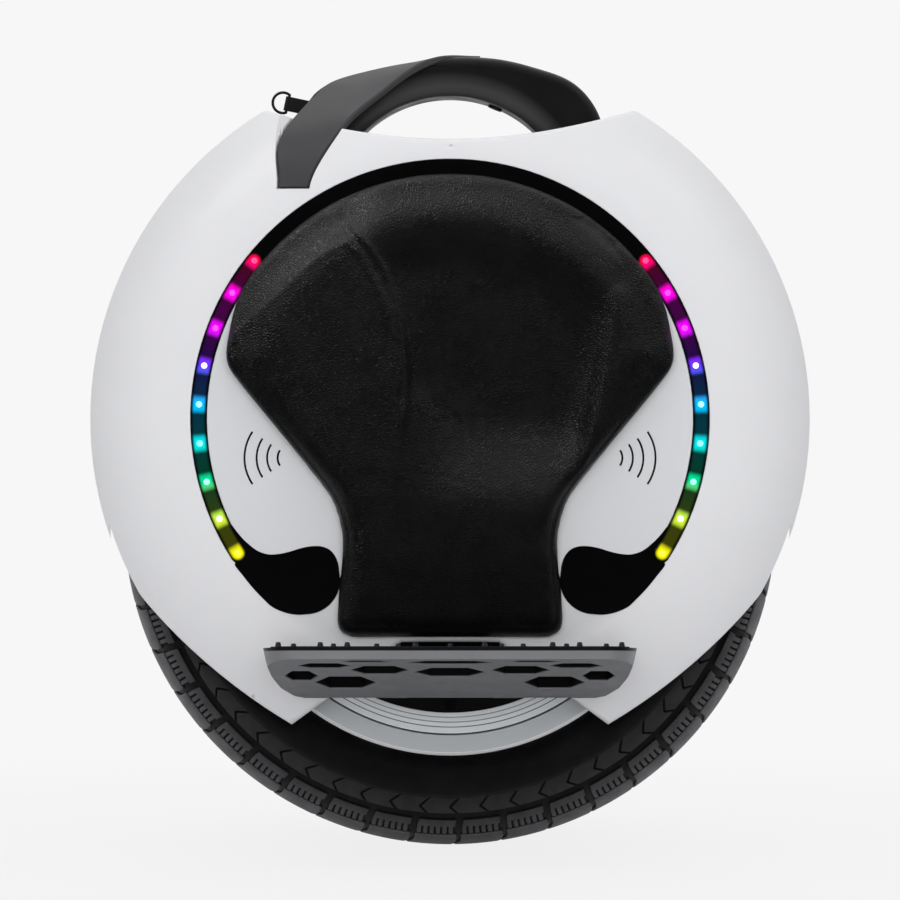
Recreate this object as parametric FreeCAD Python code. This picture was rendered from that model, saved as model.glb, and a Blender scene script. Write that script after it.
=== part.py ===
"""Electric unicycle: wheel with hub motor, white side shells, leg pads, handles and pedals.

Millimetres, +Z up. The origin is on the ground under the tyre, +X is the way it rolls, -Y is
its right-hand side. The right side is modelled and the left side is its mirror image, apart
from the trolley handle, which lies on the right only.
"""
import FreeCAD, Part
import math
import os

V = FreeCAD.Vector
X_AXIS = V(1, 0, 0)
Y_AXIS = V(0, 1, 0)
Z_AXIS = V(0, 0, 1)

# Clearances
FIT = 0.3            # between pieces of different bodies and between nested mouldings
RUNNING = 0.05       # radial play of a shaft in its bore

# Wheel
TYRE_R = 207.0
TYRE_FOOT = 1.0      # round section of the tyre above the rim's edge
TYRE_WALL = 4.5
TUBE_WALL = 1.5
TREAD_COUNT = 42
TREAD_DEPTH = 2.2
TREAD_GROOVE = 2.6
TREAD_SKEW = 24.0    # degrees, groove against the axle direction
TREAD_CENTRE = 4.0   # half width of the smooth centre rib
TREAD_EDGE = 24.0    # half width over the tread blocks
RIM_R = 149.0
RIM_W = 49.0
BEAD_H = 6.0
FLANGE_T = 3.5
WELL_DEPTH = 3.0
WELL_W = 20.0
VALVE_R = 2.2

# Hub motor
AXLE_R = 10.0
BEARING_R = 20.0
BEARING_W = 12.0
RIM_LAND = 13.4      # flat of the rim beside each motor cover
COVER_T = 4.5
COVER_STEP = 0.8     # height of each turned step on the cover
COVER_STEP_W = 4.5   # width of each turned step
COVER_STEPS = 3
BOSS_R = 27.0
COVER_LIP = 15.6     # motor cover beyond the rotor ring
ROTOR_T = 6.0
MAGNET_T = 3.0
MAGNET_SHARE = 0.78  # width of a magnet in its pitch
MAGNET_COUNT = 40
AIR_GAP = 0.8
STATOR_W = 28.0
STATOR_RING = 26.0   # radial height of the laminated ring
STATOR_HOLES = 6
COIL_COUNT = 36
COIL_H = 4.5
COVER_SCREWS = 12
SCREW_R = 2.0
SCREW_L = 10.0
SCREW_HEAD_R = 3.6
SCREW_HEAD_H = 2.0

# Body
BODY_R = 225.5
BODY_RISE = 62.7     # body centre above the axle
SIDE_HALF = 68.0     # half width over the flat sides
RIM_HALF = 32.0      # half width of the strip between the shells
SHOULDER_R = 163.0   # where the flat side starts to curve in
WALL = 3.5
STRIP_DROP = 1.0     # strip below the shells
STRIP_T = 3.0
STRIP_END = 6.0      # lower end of the strip above the axle
STRIP_JOINTS = [-30.0, 60.0, 75.0, 90.0, 105.0, 120.0, 150.0, 210.0]   # degrees about the body's centre
SADDLE_R = 334.0
SADDLE_Z = 442.7
LOWER_CUT_R = 390.0
LOWER_CUT_TOP = (200.0, 166.5)
LOWER_CUT_TIP = (98.5, 79.0)
NOTCH_HALF = 30.0
NOTCH_Z = 131.4
EDGE_ROUND = 4.0
ARCH_GAP = 6.0       # tread to wheel arch
ARCH_SIDE_GAP = 7.5  # tyre side to wheel arch
ARCH_T = 2.5
RIB_T = 3.0
RIB_ANGLES = [40.0, 78.0, 102.0, 140.0]
SHELL_BOSSES = [(140.0, 300.0), (60.0, 182.0)]
SHELL_BOSS_R = 5.0

# Light ring
RING_R = 160.3
RING_W = 10.0
RING_END = 33.0      # degrees below the horizontal where the ring turns into its end lobe
LOBE_R = 21.0
LOBE_INSET = 5.5     # lobe edge inside the ring's outer edge
LOBE_ANGLE = 48.3    # degrees below the horizontal
LOBE_LEAVE = 80.0    # degrees, where the lobe's round edge runs back to the ring
LOBE_SAG = 4.6       # hollow of the edge between lobe and ring
LENS_T = 2.0
LED_COUNT = 9
LED_FIRST = 141.1    # degrees, polar angle of the top LED on the rear half
LED_STEP = 8.92
LED_SIZE = 3.6
LED_BOARD_T = 1.2
LED_BOARD_W = 8.0

# Speakers
SLIT_X = 98.0
SLIT_Z = 245.3
SLIT_RADII = [8.5, 15.0, 21.5, 29.0]
SLIT_HALF_ANGLE = 34.0
SLIT_W = 1.3
SPEAKER_X = 124.0
SPEAKER_R = 14.0
SPEAKER_H = 9.0

# Leg pads
PAD_GAP = 0.8        # between pad and light ring
PAD_ARC_END = 40.0   # degrees, where the top arc gives way to the wing
PAD_WING = 25.0      # straight run of the wing beyond the top arc
PAD_WING_R = 80.0
PAD_CORNERS = [(139.8, 304.4, 18.0), (64.2, 209.1, 60.0), (70.4, 136.3, 11.0)]   # wing tip, waist, foot
PAD_FOOT_Z = PAD_CORNERS[-1][1]
PAD_CROWN = 12.0     # thickness at the top edge
PAD_FULL = 17.0      # thickness at the upper swell
PAD_LEDGE = 14.0     # thickness below the calf hollow
PAD_THIN = 8.0       # thickness at the foot
PAD_SWELL_Z = 372.0
PAD_DISH_Z = 262.0   # lower end of the calf hollow
PAD_ROUND = 5.0
PAD_DISH = 4.0       # depth of the calf hollow
PAD_DISH_CORNERS = [(20.0, 400.0, 130.0), (-64.0, 384.0, 14.0), (-31.0, 322.0, 90.0),
                    (-29.0, PAD_DISH_Z, 14.0), (86.0, PAD_DISH_Z, 18.0), (101.0, 335.0, 90.0),
                    (96.0, 384.0, 20.0)]   # x, z and rounding, from the top to the rear

# Carry handle
HANDLE_TOP = 498.5
HANDLE_HALF = 20.0   # half width across
HANDLE_ARCH_R = 77.0
HANDLE_ARCH_TOP = 473.5
HANDLE_SHOULDER = [(89.5, 469.9), (76.0, 483.0), (57.0, 490.5), (36.0, 496.0)]
HANDLE_FOOT_X = 97.0
HANDLE_ROUND = 6.0
HANDLE_SCREW_X = 82.0
HANDLE_SCREW_Y = 11.0
LIFT_ANGLE = 22.0    # degrees from the arch top
LIFT_R = 4.5
LIFT_PROUD = 1.6
LIFT_DEPTH = 8.0
LIFT_TRAVEL = 1.4

# Trolley handle
TROLLEY_X = -97.5
TROLLEY_Y = -51.5
ROD_W = 12.0
ROD_T = 5.0
TUBE_T = 1.7
SLEEVE_Z = 172.0
SLEEVE_TOP = 404.0
STAGE_STEP = 6.0     # each inner stage stands this far off the bottom of the one outside it
SLEEVE_FEET = [205.0, 375.0]
SLEEVE_FOOT_H = 14.0
GRIP_T = 4.5
GRIP_ROUND = 1.0     # soft edges of the grip
GRIP_GAP = 0.5       # round the grip in its recess
GRIP_FLOOR = 2.5     # wall under the grip's recess
GRIP_NEAR = [(20.0, -14.0, 499.0), (4.0, -15.5, 499.4), (-11.0, -20.0, 497.2), (-31.0, -25.5, 485.5),
             (-47.0, -35.0, 471.5), (-60.6, -50.0, 458.8), (-72.0, -61.5, 443.0),
             (-84.0, -66.8, 423.0), (-87.6, -67.9, 412.0)]
GRIP_FAR = [(20.0, 14.0, 499.0), (2.0, 15.0, 499.4), (-21.0, 17.0, 498.4), (-54.0, 12.0, 491.8),
            (-78.0, -6.0, 482.2), (-94.0, -30.0, 464.0), (-106.2, -54.0, 443.0),
            (-106.5, -63.9, 423.0), (-106.3, -66.5, 412.0)]

# Tether
TAB_Z = 470.0
TAB_TILT = 12.0      # degrees
TAB_OUT = 103.0      # distance of the tab's outer end from the middle of the handle
TAB_L = 24.0
TAB_H = 9.0
TAB_T = 4.0
TETHER_R = 0.9       # wire radius
TETHER_REACH = 9.6   # hinge axis to the middle of the wire's bow
TETHER_EYE = 2.0     # hinge axis to the tab's outer end

# Pedals and hangers
PIN_Y = 84.0
PIN_Z = 118.0
PIN_R = 4.0
PIN_EAR = 15.0       # length of the pin in each ear
PEDAL_HALF = 112.0
PEDAL_OUT = 92.0     # hinge axis to lip
PEDAL_IN = 8.0       # hinge axis to inner edge
PEDAL_TOP = 8.5      # tread above the hinge axis
PEDAL_LIP = 7.0
PEDAL_KEEL = 28.4    # depth below the tread at the hinge
PEDAL_KEEL_AT = 10.5 # hinge axis to the deepest line
PEDAL_KEEL_HALF = 92.0
PEDAL_SWELL = 4.0    # roundness of the ends
PEDAL_PLATE = 4.5
PEDAL_TILT = 4.5     # degrees, lip raised
PEDAL_CORNER = 20.0
EAR_POCKET = 34.0    # length of the hollow beside each ear
MAT_T = 0.8
MAT_INSET = 5.0
STUD_R = 2.2
STUD_TIP_R = 1.3
STUD_H = 3.4
STUD_ROWS = [(80.0, [20.5, 61.0, 77.0, 102.0]), (52.0, [0.0, 31.0, 44.0, 70.0, 94.0])]
HEX_POCKETS = [(0.0, 84.5, 58.0, 7.5), (50.0, 86.5, 34.0, 5.0), (75.0, 78.0, 34.0, 11.0),
               (0.0, 64.6, 44.0, 19.0), (42.0, 69.0, 36.0, 18.0), (90.0, 57.0, 22.0, 21.0),
               (63.0, 43.0, 38.0, 26.0)]   # middle, distance from hinge, length and width
HANGER_HALF = 26.0
HANGER_T = 11.5
HANGER_TOP = 55.0    # above the axle
HANGER_ARM = 24.0    # height of the arm where it leaves the plate
HANGER_SCREW = (17.0, 42.0)   # beside and above the axle
KNUCKLE_R = 8.0
NUT_R = 14.0
NUT_H = 9.0

# Electrics
BATTERY_HALF = 76.0
BATTERY_Z = (266.0, 392.0)
BATTERY_ROUND = 6.0
BATTERY_GAP = 3.0    # battery to shell
CONTROLLER_ANGLE = 128.0   # degrees about the axle
CONTROLLER_L = 62.0
CONTROLLER_W = 50.0
CONTROLLER_H = 10.0
SHELF_H = 5.0
SINK_BASE = 3.0
SINK_FIN = 9.0
SINK_FINS = 9
LIGHT_ANGLE = 14.0   # degrees above the horizontal
LIGHT_HALF = 20.0
LIGHT_SPAN = 6.5     # half angle in degrees
LIGHT_RIM = 4.0
LIGHT_BOARD_T = 4.0
POWER_ANGLE = 50.0   # degrees about the body centre
POWER_R = 8.0
POWER_TRAVEL = 1.5
SWITCH_WALL = 2.5
PORT_ANGLE = 38.0
PORT_R = 5.5
PORT_DEPTH = 12.0
PORT_BODY_R = 8.5
POCKET_HALF = 13.0
POCKET_DEPTH = 4.0
TUB_WALL = 2.0
CAP_T = 2.6
CAP_ROUND = 4.0
CAP_KNUCKLE_R = 1.2

# Worked out from the sizes above
AXLE_Z = TYRE_R
TYRE_W = TYRE_R - RIM_R - TYRE_FOOT        # the section is as wide as it is high
COVER_R = RIM_R - RIM_LAND
ROTOR_OUT = COVER_R - COVER_LIP
BODY_Z = AXLE_Z + BODY_RISE
ARCH_R = TYRE_R + ARCH_GAP
ARCH_OUT = ARCH_R + ARCH_T
ARCH_HALF = TYRE_W / 2 + ARCH_SIDE_GAP
FRAME_Y = ARCH_HALF + ARCH_T               # outer face of the wheel arch's side walls
INNER_Y = SIDE_HALF - WALL                 # inner face of the shells' flat sides
STRIP_HALF = RIM_HALF - FIT
SADDLE_CENTRE = SADDLE_Z + SADDLE_R
RING_IN = RING_R - RING_W
RING_MIDDLE = RING_R - RING_W / 2
PAD_R = RING_IN - PAD_GAP
TUBE_R = TYRE_R - TYRE_W / 2               # middle of the tyre's round section
BEAD_R = RIM_R - BEAD_H
RIM_SIDE = RIM_W / 2
COVER_IN = RIM_SIDE - COVER_T              # inner face of the covers, on the rotor's ends
COVER_FACE = RIM_SIDE + COVER_STEP         # flat outer face of the covers
COVER_SCREW_R = ROTOR_OUT - ROTOR_T / 2    # screw circle, in the middle of the rotor ring
BEARING_IN = COVER_IN - COVER_T            # inner end of the bearings
MAGNET_R = ROTOR_OUT - ROTOR_T
MAGNET_W = MAGNET_SHARE * 2 * math.pi * MAGNET_R / MAGNET_COUNT
STATOR_R = MAGNET_R - MAGNET_T - FIT - AIR_GAP
HANGER_Y = FRAME_Y + HANGER_T              # outer face of the hangers
HANDLE_ARCH_Z = HANDLE_ARCH_TOP - HANDLE_ARCH_R
MIDDLE_W = ROD_W + 2 * FIT + 2 * TUBE_T    # outside of the trolley's middle tube
MIDDLE_T = ROD_T + 2 * FIT + 2 * TUBE_T
SLEEVE_W = MIDDLE_W + 2 * FIT + 2 * TUBE_T
SLEEVE_T = MIDDLE_T + 2 * FIT + 2 * TUBE_T
TUB_HALF = POCKET_HALF + TUB_WALL
KNUCKLE_SLOT = HANGER_HALF + FIT           # half length of the pedal's slot for the knuckle


# Shape helpers

def point(x, z, y=0.0):
    """A point from its place in side view."""
    return V(x, y, z)


def flip_x(p):
    """The mirror image of a point at the other end."""
    return V(-p.x, p.y, p.z)


def flip_y(p):
    """The mirror image of a point on the other side."""
    return V(p.x, -p.y, p.z)


def polar(radius, degrees):
    """A side-view point at a polar angle about the body's centre."""
    a = math.radians(degrees)
    return point(radius * math.cos(a), BODY_Z + radius * math.sin(a))


def line(a, b):
    """A straight edge."""
    return Part.makeLine(a, b)


def arc(a, b, c):
    """A round edge from a to c through b."""
    return Part.Arc(a, b, c).toShape()


def chain(points):
    """Straight edges through the points and back to the first."""
    return [line(a, b) for a, b in zip(points, points[1:] + points[:1])]


def round_chain(corners):
    """Straight edges between the corners and an arc of the given radius at each corner."""
    edges, ends = [], []
    for i, (corner, radius) in enumerate(corners):
        before = (corners[i - 1][0] - corner).normalize()
        after = (corners[(i + 1) % len(corners)][0] - corner).normalize()
        half = before.getAngle(after) / 2
        reach, depth = radius / math.tan(half), radius / math.sin(half) - radius
        start, finish = corner + before * reach, corner + after * reach
        edges.append(arc(start, corner + (before + after).normalize() * depth, finish))
        ends.append((start, finish))
    for i, (start, finish) in enumerate(ends):
        if ends[i - 1][1].distanceToPoint(start) > RUNNING:
            edges.append(line(ends[i - 1][1], start))
    return edges


def face(edges):
    """A flat face inside a closed run of edges."""
    return Part.Face(Part.Wire(Part.__sortEdges__(edges)))


def prism(edges, start, way):
    """A flat outline shifted by start and drawn along way."""
    flat = face(edges)
    flat.translate(start)
    return flat.extrude(way)


def prism_y(edges, y0, y1):
    """A side-view outline drawn through the width from y0 to y1."""
    return prism(edges, V(0, y0, 0), V(0, y1 - y0, 0))


def spin(edges, z):
    """A solid of revolution about the crosswise axis at height z."""
    return face(edges).revolve(V(0, 0, z), Y_AXIS, 360)


def spin_wheel(points):
    """A solid of revolution about the axle from (radius, y) corners."""
    return spin(chain([V(r, y, AXLE_Z) for r, y in points]), AXLE_Z)


def disc(radius, y0, y1, x=0.0, z=AXLE_Z):
    """A round bar across the vehicle."""
    return Part.makeCylinder(radius, y1 - y0, V(x, y0, z), Y_AXIS)


def ring(outer, inner, y0, y1, x=0.0, z=AXLE_Z):
    """A round tube across the vehicle."""
    return disc(outer, y0, y1, x, z).cut(disc(inner, y0, y1, x, z))


def post(radius, z0, z1, x=0.0, y=0.0):
    """An upright round bar."""
    return Part.makeCylinder(radius, z1 - z0, V(x, y, z0))


def box(x0, x1, y0, y1, z0, z1):
    """A block between two corners."""
    return Part.makeBox(x1 - x0, y1 - y0, z1 - z0, V(x0, y0, z0))


def bar(width, thickness, z0, z1):
    """An upright block on the trolley's line."""
    return box(TROLLEY_X - width / 2, TROLLEY_X + width / 2,
               TROLLEY_Y - thickness / 2, TROLLEY_Y + thickness / 2, z0, z1)


def turned(shape, degrees, z=AXLE_Z):
    """A copy turned about the crosswise axis at height z."""
    copy = shape.copy()
    copy.rotate(V(0, 0, z), Y_AXIS, degrees)
    return copy


def around(shape, count, start=0.0):
    """A ring of evenly spaced copies about the axle."""
    return [turned(shape, start + i * 360.0 / count) for i in range(count)]


def outward(shape, degrees):
    """A shape drawn at the top of the body, carried round to a polar angle."""
    return turned(shape, 90.0 - degrees, BODY_Z)


def other_side(shape):
    """The mirror image on the left-hand side."""
    return shape.mirror(V(0, 0, 0), Y_AXIS)


def other_end(shape):
    """The mirror image at the other end."""
    return shape.mirror(V(0, 0, 0), X_AXIS)


def group(shapes):
    """Several solids in one node."""
    return Part.makeCompound(shapes)


def mirrored(shapes):
    """The shapes and their mirror images on the left-hand side."""
    return shapes + [other_side(s) for s in shapes]


def upright_edges(block):
    """The edges of a block that run along Z."""
    return [e for e in block.Edges if abs(e.tangentAt(e.FirstParameter).z) > 0.99]


# Wheel

def tyre():
    """Round-section tyre with two beads and skewed tread grooves on each shoulder."""
    outer = TYRE_W / 2
    inner = outer - TYRE_WALL
    bead_y = RIM_SIDE - FLANGE_T

    def at(radius, degrees):
        a = math.radians(degrees)
        return V(TUBE_R + radius * math.cos(a), radius * math.sin(a), AXLE_Z)

    wall_out, wall_in = at(outer, 122), at(inner, 130)
    heel_high, heel_low = V(RIM_R, bead_y, AXLE_Z), V(BEAD_R, bead_y, AXLE_Z)
    toe = V(BEAD_R, bead_y - TYRE_WALL, AXLE_Z)
    side = [wall_out, heel_high, heel_low, toe, wall_in]
    edges = [line(a, b) for a, b in zip(side, side[1:])]
    edges += [line(flip_y(a), flip_y(b)) for a, b in zip(side, side[1:])]
    edges.append(arc(flip_y(wall_out), at(outer, 0), wall_out))
    edges.append(arc(flip_y(wall_in), at(inner, 0), wall_in))
    return spin(edges, AXLE_Z).cut(tread_grooves())


def tread_grooves():
    """Skewed grooves, one ring of them on each shoulder, a constant depth below the tread."""
    root = Part.makeTorus(TUBE_R, TYRE_W / 2 - TREAD_DEPTH, V(0, 0, AXLE_Z), Y_AXIS)
    blade = box(-TREAD_GROOVE / 2, TREAD_GROOVE / 2, TREAD_CENTRE, TREAD_EDGE,
                AXLE_Z + TUBE_R, AXLE_Z + TYRE_R + TREAD_DEPTH)
    blade.rotate(V(0, (TREAD_CENTRE + TREAD_EDGE) / 2, AXLE_Z), Z_AXIS, TREAD_SKEW)
    groove = blade.cut(root)
    half_pitch = 180.0 / TREAD_COUNT
    left, right = around(groove, TREAD_COUNT), around(other_side(groove), TREAD_COUNT, half_pitch)
    return group(left + right)


def inner_tube():
    """Inflated tube just inside the tyre, with a hole for the valve."""
    radius = TYRE_W / 2 - TYRE_WALL - FIT
    outer = Part.makeTorus(TUBE_R, radius, V(0, 0, AXLE_Z), Y_AXIS)
    inner = Part.makeTorus(TUBE_R, radius - TUBE_WALL, V(0, 0, AXLE_Z), Y_AXIS)
    return outer.cut([inner, post(VALVE_R, AXLE_Z + BEAD_R, AXLE_Z + TUBE_R)])


def valve_bar(radius, start):
    """A round bar along the valve, from start inside the rim's well out of its left side."""
    z = AXLE_Z + (COVER_R + 2 * FIT + BEAD_R) / 2
    return disc(radius, start, RIM_SIDE + 2 * VALVE_R, 0, z)


def valve_stem():
    """Valve stem through the rim."""
    return valve_bar(VALVE_R, WELL_W / 2 - WELL_DEPTH)


def rim():
    """Rim with bead seats, a drop well, flanges and a recess for each motor cover."""
    recess = COVER_R + 2 * FIT
    half = [(ROTOR_OUT, 0.0), (ROTOR_OUT, COVER_IN), (recess, COVER_IN), (recess, RIM_SIDE),
            (RIM_R - FLANGE_T / 2, RIM_SIDE), (RIM_R, RIM_SIDE - FLANGE_T / 2),
            (RIM_R, RIM_SIDE - FLANGE_T), (BEAD_R, RIM_SIDE - FLANGE_T),
            (BEAD_R, WELL_W / 2), (BEAD_R - WELL_DEPTH, WELL_W / 2 - WELL_DEPTH)]
    well = [(BEAD_R - WELL_DEPTH, -WELL_W / 2 + WELL_DEPTH)]
    body = spin_wheel(half[1:] + well + [(r, -y) for r, y in reversed(half[1:-1])])
    return body.cut(valve_bar(VALVE_R + FIT / 2, 0.0))


def rotor_ring():
    """Steel ring that carries the magnets, with tapped holes for the cover screws."""
    body = ring(ROTOR_OUT - RUNNING, MAGNET_R, -COVER_IN, COVER_IN)
    return body.cut(mirrored(around(cover_screw(), COVER_SCREWS)))


def rotor_magnets():
    """A ring of flat magnets against the inside of the rotor ring."""
    seat = math.sqrt(MAGNET_R ** 2 - (MAGNET_W / 2) ** 2) - RUNNING
    magnet = box(-MAGNET_W / 2, MAGNET_W / 2, -STATOR_W / 2, STATOR_W / 2,
                 AXLE_Z + seat - MAGNET_T, AXLE_Z + seat)
    return group(around(magnet, MAGNET_COUNT))


def cover_screw():
    """Top cover screw of the right side."""
    z = AXLE_Z + COVER_SCREW_R
    head = disc(SCREW_HEAD_R, -COVER_FACE - SCREW_HEAD_H, -COVER_FACE, 0, z)
    return head.fuse(disc(SCREW_R, -COVER_FACE, -COVER_FACE + SCREW_L, 0, z))


def cover_screws():
    """Both rings of cover screws."""
    return group(mirrored(around(cover_screw(), COVER_SCREWS)))


def motor_cover():
    """Right motor cover: turned steps at its edge, a flat web and a bearing boss."""
    steps = []
    for i in range(COVER_STEPS):
        outer = COVER_R - i * COVER_STEP_W
        height = RIM_SIDE + (i + 0.5) * COVER_STEP
        steps += [(outer, height), (outer - COVER_STEP_W, height)]
    bearing_end = BEARING_IN + BEARING_W
    lip = BEARING_R - COVER_T
    cap = bearing_end + COVER_T / 3
    half = [(COVER_R, COVER_IN)] + steps
    half += [(steps[-1][0], COVER_FACE), (BOSS_R + COVER_T, COVER_FACE), (BOSS_R, cap), (lip, cap),
             (lip, bearing_end), (BEARING_R, bearing_end), (BEARING_R, BEARING_IN),
             (BOSS_R, BEARING_IN), (BOSS_R, COVER_IN)]
    body = spin_wheel([(r, -y) for r, y in half])
    return body.cut(around(cover_screw(), COVER_SCREWS))


def bearing():
    """Right wheel bearing."""
    return ring(BEARING_R, AXLE_R + RUNNING, -BEARING_IN - BEARING_W, -BEARING_IN)


def axle():
    """Fixed axle through both hangers and their nuts."""
    return disc(AXLE_R, -HANGER_Y - NUT_H, HANGER_Y + NUT_H)


def axle_nut():
    """Right axle nut against the hanger."""
    corners = [point(NUT_R * math.cos(math.radians(60 * i)), AXLE_Z + NUT_R * math.sin(math.radians(60 * i)))
               for i in range(6)]
    return prism_y(chain(corners), -HANGER_Y - NUT_H, -HANGER_Y).cut(axle())


def stator_core():
    """Laminated ring with a spoked web, pressed on the axle."""
    half, web = STATOR_W / 2, STATOR_W / 8
    inner, hub = STATOR_R - STATOR_RING, AXLE_R + STATOR_RING / 2
    body = ring(STATOR_R, inner, -half, half)
    body = body.fuse([ring(inner, hub, -web, web), ring(hub, AXLE_R, -half, half)])
    hole = disc((inner - hub) / 4, -half, half, 0, AXLE_Z + (inner + hub) / 2)
    return body.removeSplitter().cut(around(hole, STATOR_HOLES))


def stator_windings():
    """Coil heads on both faces of the laminated ring."""
    half = STATOR_W / 2
    width = 0.72 * 2 * math.pi * (STATOR_R - STATOR_RING / 2) / COIL_COUNT
    rim_gap = 0.15 * STATOR_RING
    coil = box(-width / 2, width / 2, -half - COIL_H, -half,
               AXLE_Z + STATOR_R - STATOR_RING + rim_gap, AXLE_Z + STATOR_R - rim_gap)
    return group(mirrored(around(coil, COIL_COUNT)))


# Body

def edge_radius(inset):
    """Radius of the body's edge with its walls moved in by inset."""
    drop = SIDE_HALF - RIM_HALF
    bend = side_bend()
    return SHOULDER_R + math.sqrt((bend - inset) ** 2 - (bend - drop) ** 2)


def side_bend():
    """Radius of the round shoulder between the flat side and the edge."""
    drop = SIDE_HALF - RIM_HALF
    return ((BODY_R - SHOULDER_R) ** 2 + drop ** 2) / (2 * drop)


def body_block(inset):
    """The body's outer form, with every wall moved in by inset."""
    centre_y = SIDE_HALF - side_bend()
    radius = side_bend() - inset
    half_way = math.radians(60)
    hub = V(0, inset - SIDE_HALF, BODY_Z)
    side = V(SHOULDER_R, inset - SIDE_HALF, BODY_Z)
    bulge = V(SHOULDER_R + radius * math.cos(half_way), -centre_y - radius * math.sin(half_way), BODY_Z)
    edge = V(edge_radius(inset), -RIM_HALF, BODY_Z)
    edges = [line(hub, side), arc(side, bulge, edge), line(edge, flip_y(edge)),
             arc(flip_y(edge), flip_y(bulge), flip_y(side)), line(flip_y(side), flip_y(hub)),
             line(flip_y(hub), hub)]
    block = spin(edges, BODY_Z).cut([saddle_bar(inset), notch_bar(inset)])
    keep = lower_keep(inset)
    return block.common(keep).common(other_end(keep))


def saddle_bar(inset):
    """The round hollow under the carry handle."""
    return disc(SADDLE_R + inset, -SIDE_HALF, SIDE_HALF, 0, SADDLE_CENTRE)


def saddle_height(x, inset):
    """Height of the saddle at x with its surface moved in by inset."""
    return SADDLE_CENTRE - math.sqrt((SADDLE_R + inset) ** 2 - x ** 2)


def lower_keep(inset):
    """Everything inside the round lower edge at the rear."""
    ax, az = LOWER_CUT_TOP
    bx, bz = LOWER_CUT_TIP
    half = math.hypot(ax - bx, az - bz) / 2
    rise = math.sqrt(LOWER_CUT_R ** 2 - half ** 2)
    x = -(ax + bx) / 2 + rise * (az - bz) / (2 * half)
    z = (az + bz) / 2 + rise * (ax - bx) / (2 * half)
    return disc(LOWER_CUT_R - inset, -SIDE_HALF, SIDE_HALF, x, z)


def notch_bar(inset):
    """The opening at the bottom that shows the wheel and lets the hangers out."""
    run, rise = LOWER_CUT_TIP[0] - NOTCH_HALF, NOTCH_Z - LOWER_CUT_TIP[1]
    top_z = NOTCH_Z + inset
    top = NOTCH_HALF + inset * (math.hypot(run, rise) - run) / rise
    foot = top + top_z * run / rise
    corners = [point(-top, top_z), point(top, top_z), point(foot, 0), point(-foot, 0)]
    return prism_y(chain(corners), -SIDE_HALF, SIDE_HALF)


def round_edges(block):
    """Soft corners along the saddle, the lower edges and the notch of the outer form."""
    corners = []
    for edge in block.Edges:
        middle = edge.valueAt((edge.FirstParameter + edge.LastParameter) / 2)
        radius = math.hypot(middle.x, middle.z - BODY_Z)
        across = abs(edge.tangentAt(edge.FirstParameter).y) > 0.999
        on_side = abs(middle.y) > RIM_HALF + FIT and radius < BODY_R - FIT
        if on_side and not across and abs(radius - SHOULDER_R) > FIT:
            corners.append(edge)
    return block.makeFillet(EDGE_ROUND, corners)


def plain_shell():
    """Right shell: moulded wall with light ring groove, LED windows, slits and screw bosses."""
    outer = round_edges(body_block(0.0))
    right = box(-BODY_R, BODY_R, -SIDE_HALF, -RIM_HALF, 0, HANDLE_TOP)
    wall = outer.cut(body_block(WALL)).common(right)
    wall = wall.fuse([disc(SHELL_BOSS_R, -INNER_Y, -FRAME_Y, x, z) for x, z in boss_places()])
    cuts = [prism_y(ring_outline(FIT), -SIDE_HALF, -SIDE_HALF + LENS_T),
            disc(ARCH_R, -ARCH_HALF, ARCH_HALF),
            box(-HANGER_HALF - FIT, HANGER_HALF + FIT, -HANGER_Y - FIT, 0, PIN_Z, AXLE_Z)]
    cuts += led_blocks(LED_SIZE + 2 * FIT, -SIDE_HALF, -INNER_Y)
    cuts += speaker_slits()
    cuts += [wall_screw(x, z) for x, z in boss_places()]
    return wall.cut(cuts)


def trolley_shell(shell):
    """The right shell with the recess for the trolley's grip and the way out for its tubes."""
    rim_w = GRIP_GAP + GRIP_FLOOR
    tray = grip_loft([(-GRIP_T - rim_w, rim_w), (GRIP_T, rim_w)]).common(body_block(WALL / 2))
    right = box(-BODY_R, BODY_R, -SIDE_HALF, -RIM_HALF, 0, HANDLE_TOP)
    shell = shell.fuse(tray.common(right)).removeSplitter()
    way_out = bar(MIDDLE_W + 2 * FIT, MIDDLE_T + 2 * FIT, SLEEVE_TOP, HANDLE_TOP)
    return shell.cut([grip_cutter(), way_out])


def boss_places():
    """Side-view places of the shells' screw bosses."""
    return [(s * x, z) for x, z in SHELL_BOSSES for s in (1, -1)]


def wall_screw(x, z):
    """A screw through the right wall of the wheel arch, its head beside the wheel."""
    head = disc(SCREW_HEAD_R, -ARCH_HALF, -ARCH_HALF + SCREW_HEAD_H, x, z)
    return head.fuse(disc(SCREW_R, -ARCH_HALF - SCREW_L, -ARCH_HALF, x, z))


def body_screws():
    """Screws that hold the shells to the wheel arch and the handle to the strip."""
    return group(mirrored([wall_screw(x, z) for x, z in boss_places()]) + handle_screw_list())


def speaker_slits():
    """Round slits in front of each speaker, opening away from the pad."""
    slits = []
    half = math.radians(SLIT_HALF_ANGLE)
    for radius in SLIT_RADII:
        slit = ring(radius + SLIT_W / 2, radius - SLIT_W / 2, -SIDE_HALF, -INNER_Y, -SLIT_X, SLIT_Z)
        dx, dz = 2 * radius * math.cos(half), 2 * radius * math.sin(half)
        corners = [point(-SLIT_X, SLIT_Z), point(-SLIT_X - dx, SLIT_Z + dz), point(-SLIT_X - dx, SLIT_Z - dz)]
        slit = slit.common(prism_y(chain(corners), -SIDE_HALF, -INNER_Y))
        slits += [slit, other_end(slit)]
    return slits


def speakers():
    """Four speakers against the insides of the shells, each a basket with a magnet."""
    front = -INNER_Y + SPEAKER_H / 3
    basket = disc(SPEAKER_R, -INNER_Y, front, -SPEAKER_X, SLIT_Z)
    magnet = disc(0.6 * SPEAKER_R, front, -INNER_Y + SPEAKER_H, -SPEAKER_X, SLIT_Z)
    rear = basket.fuse(magnet)
    return group(mirrored([rear, other_end(rear)]))


# Light ring

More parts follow.
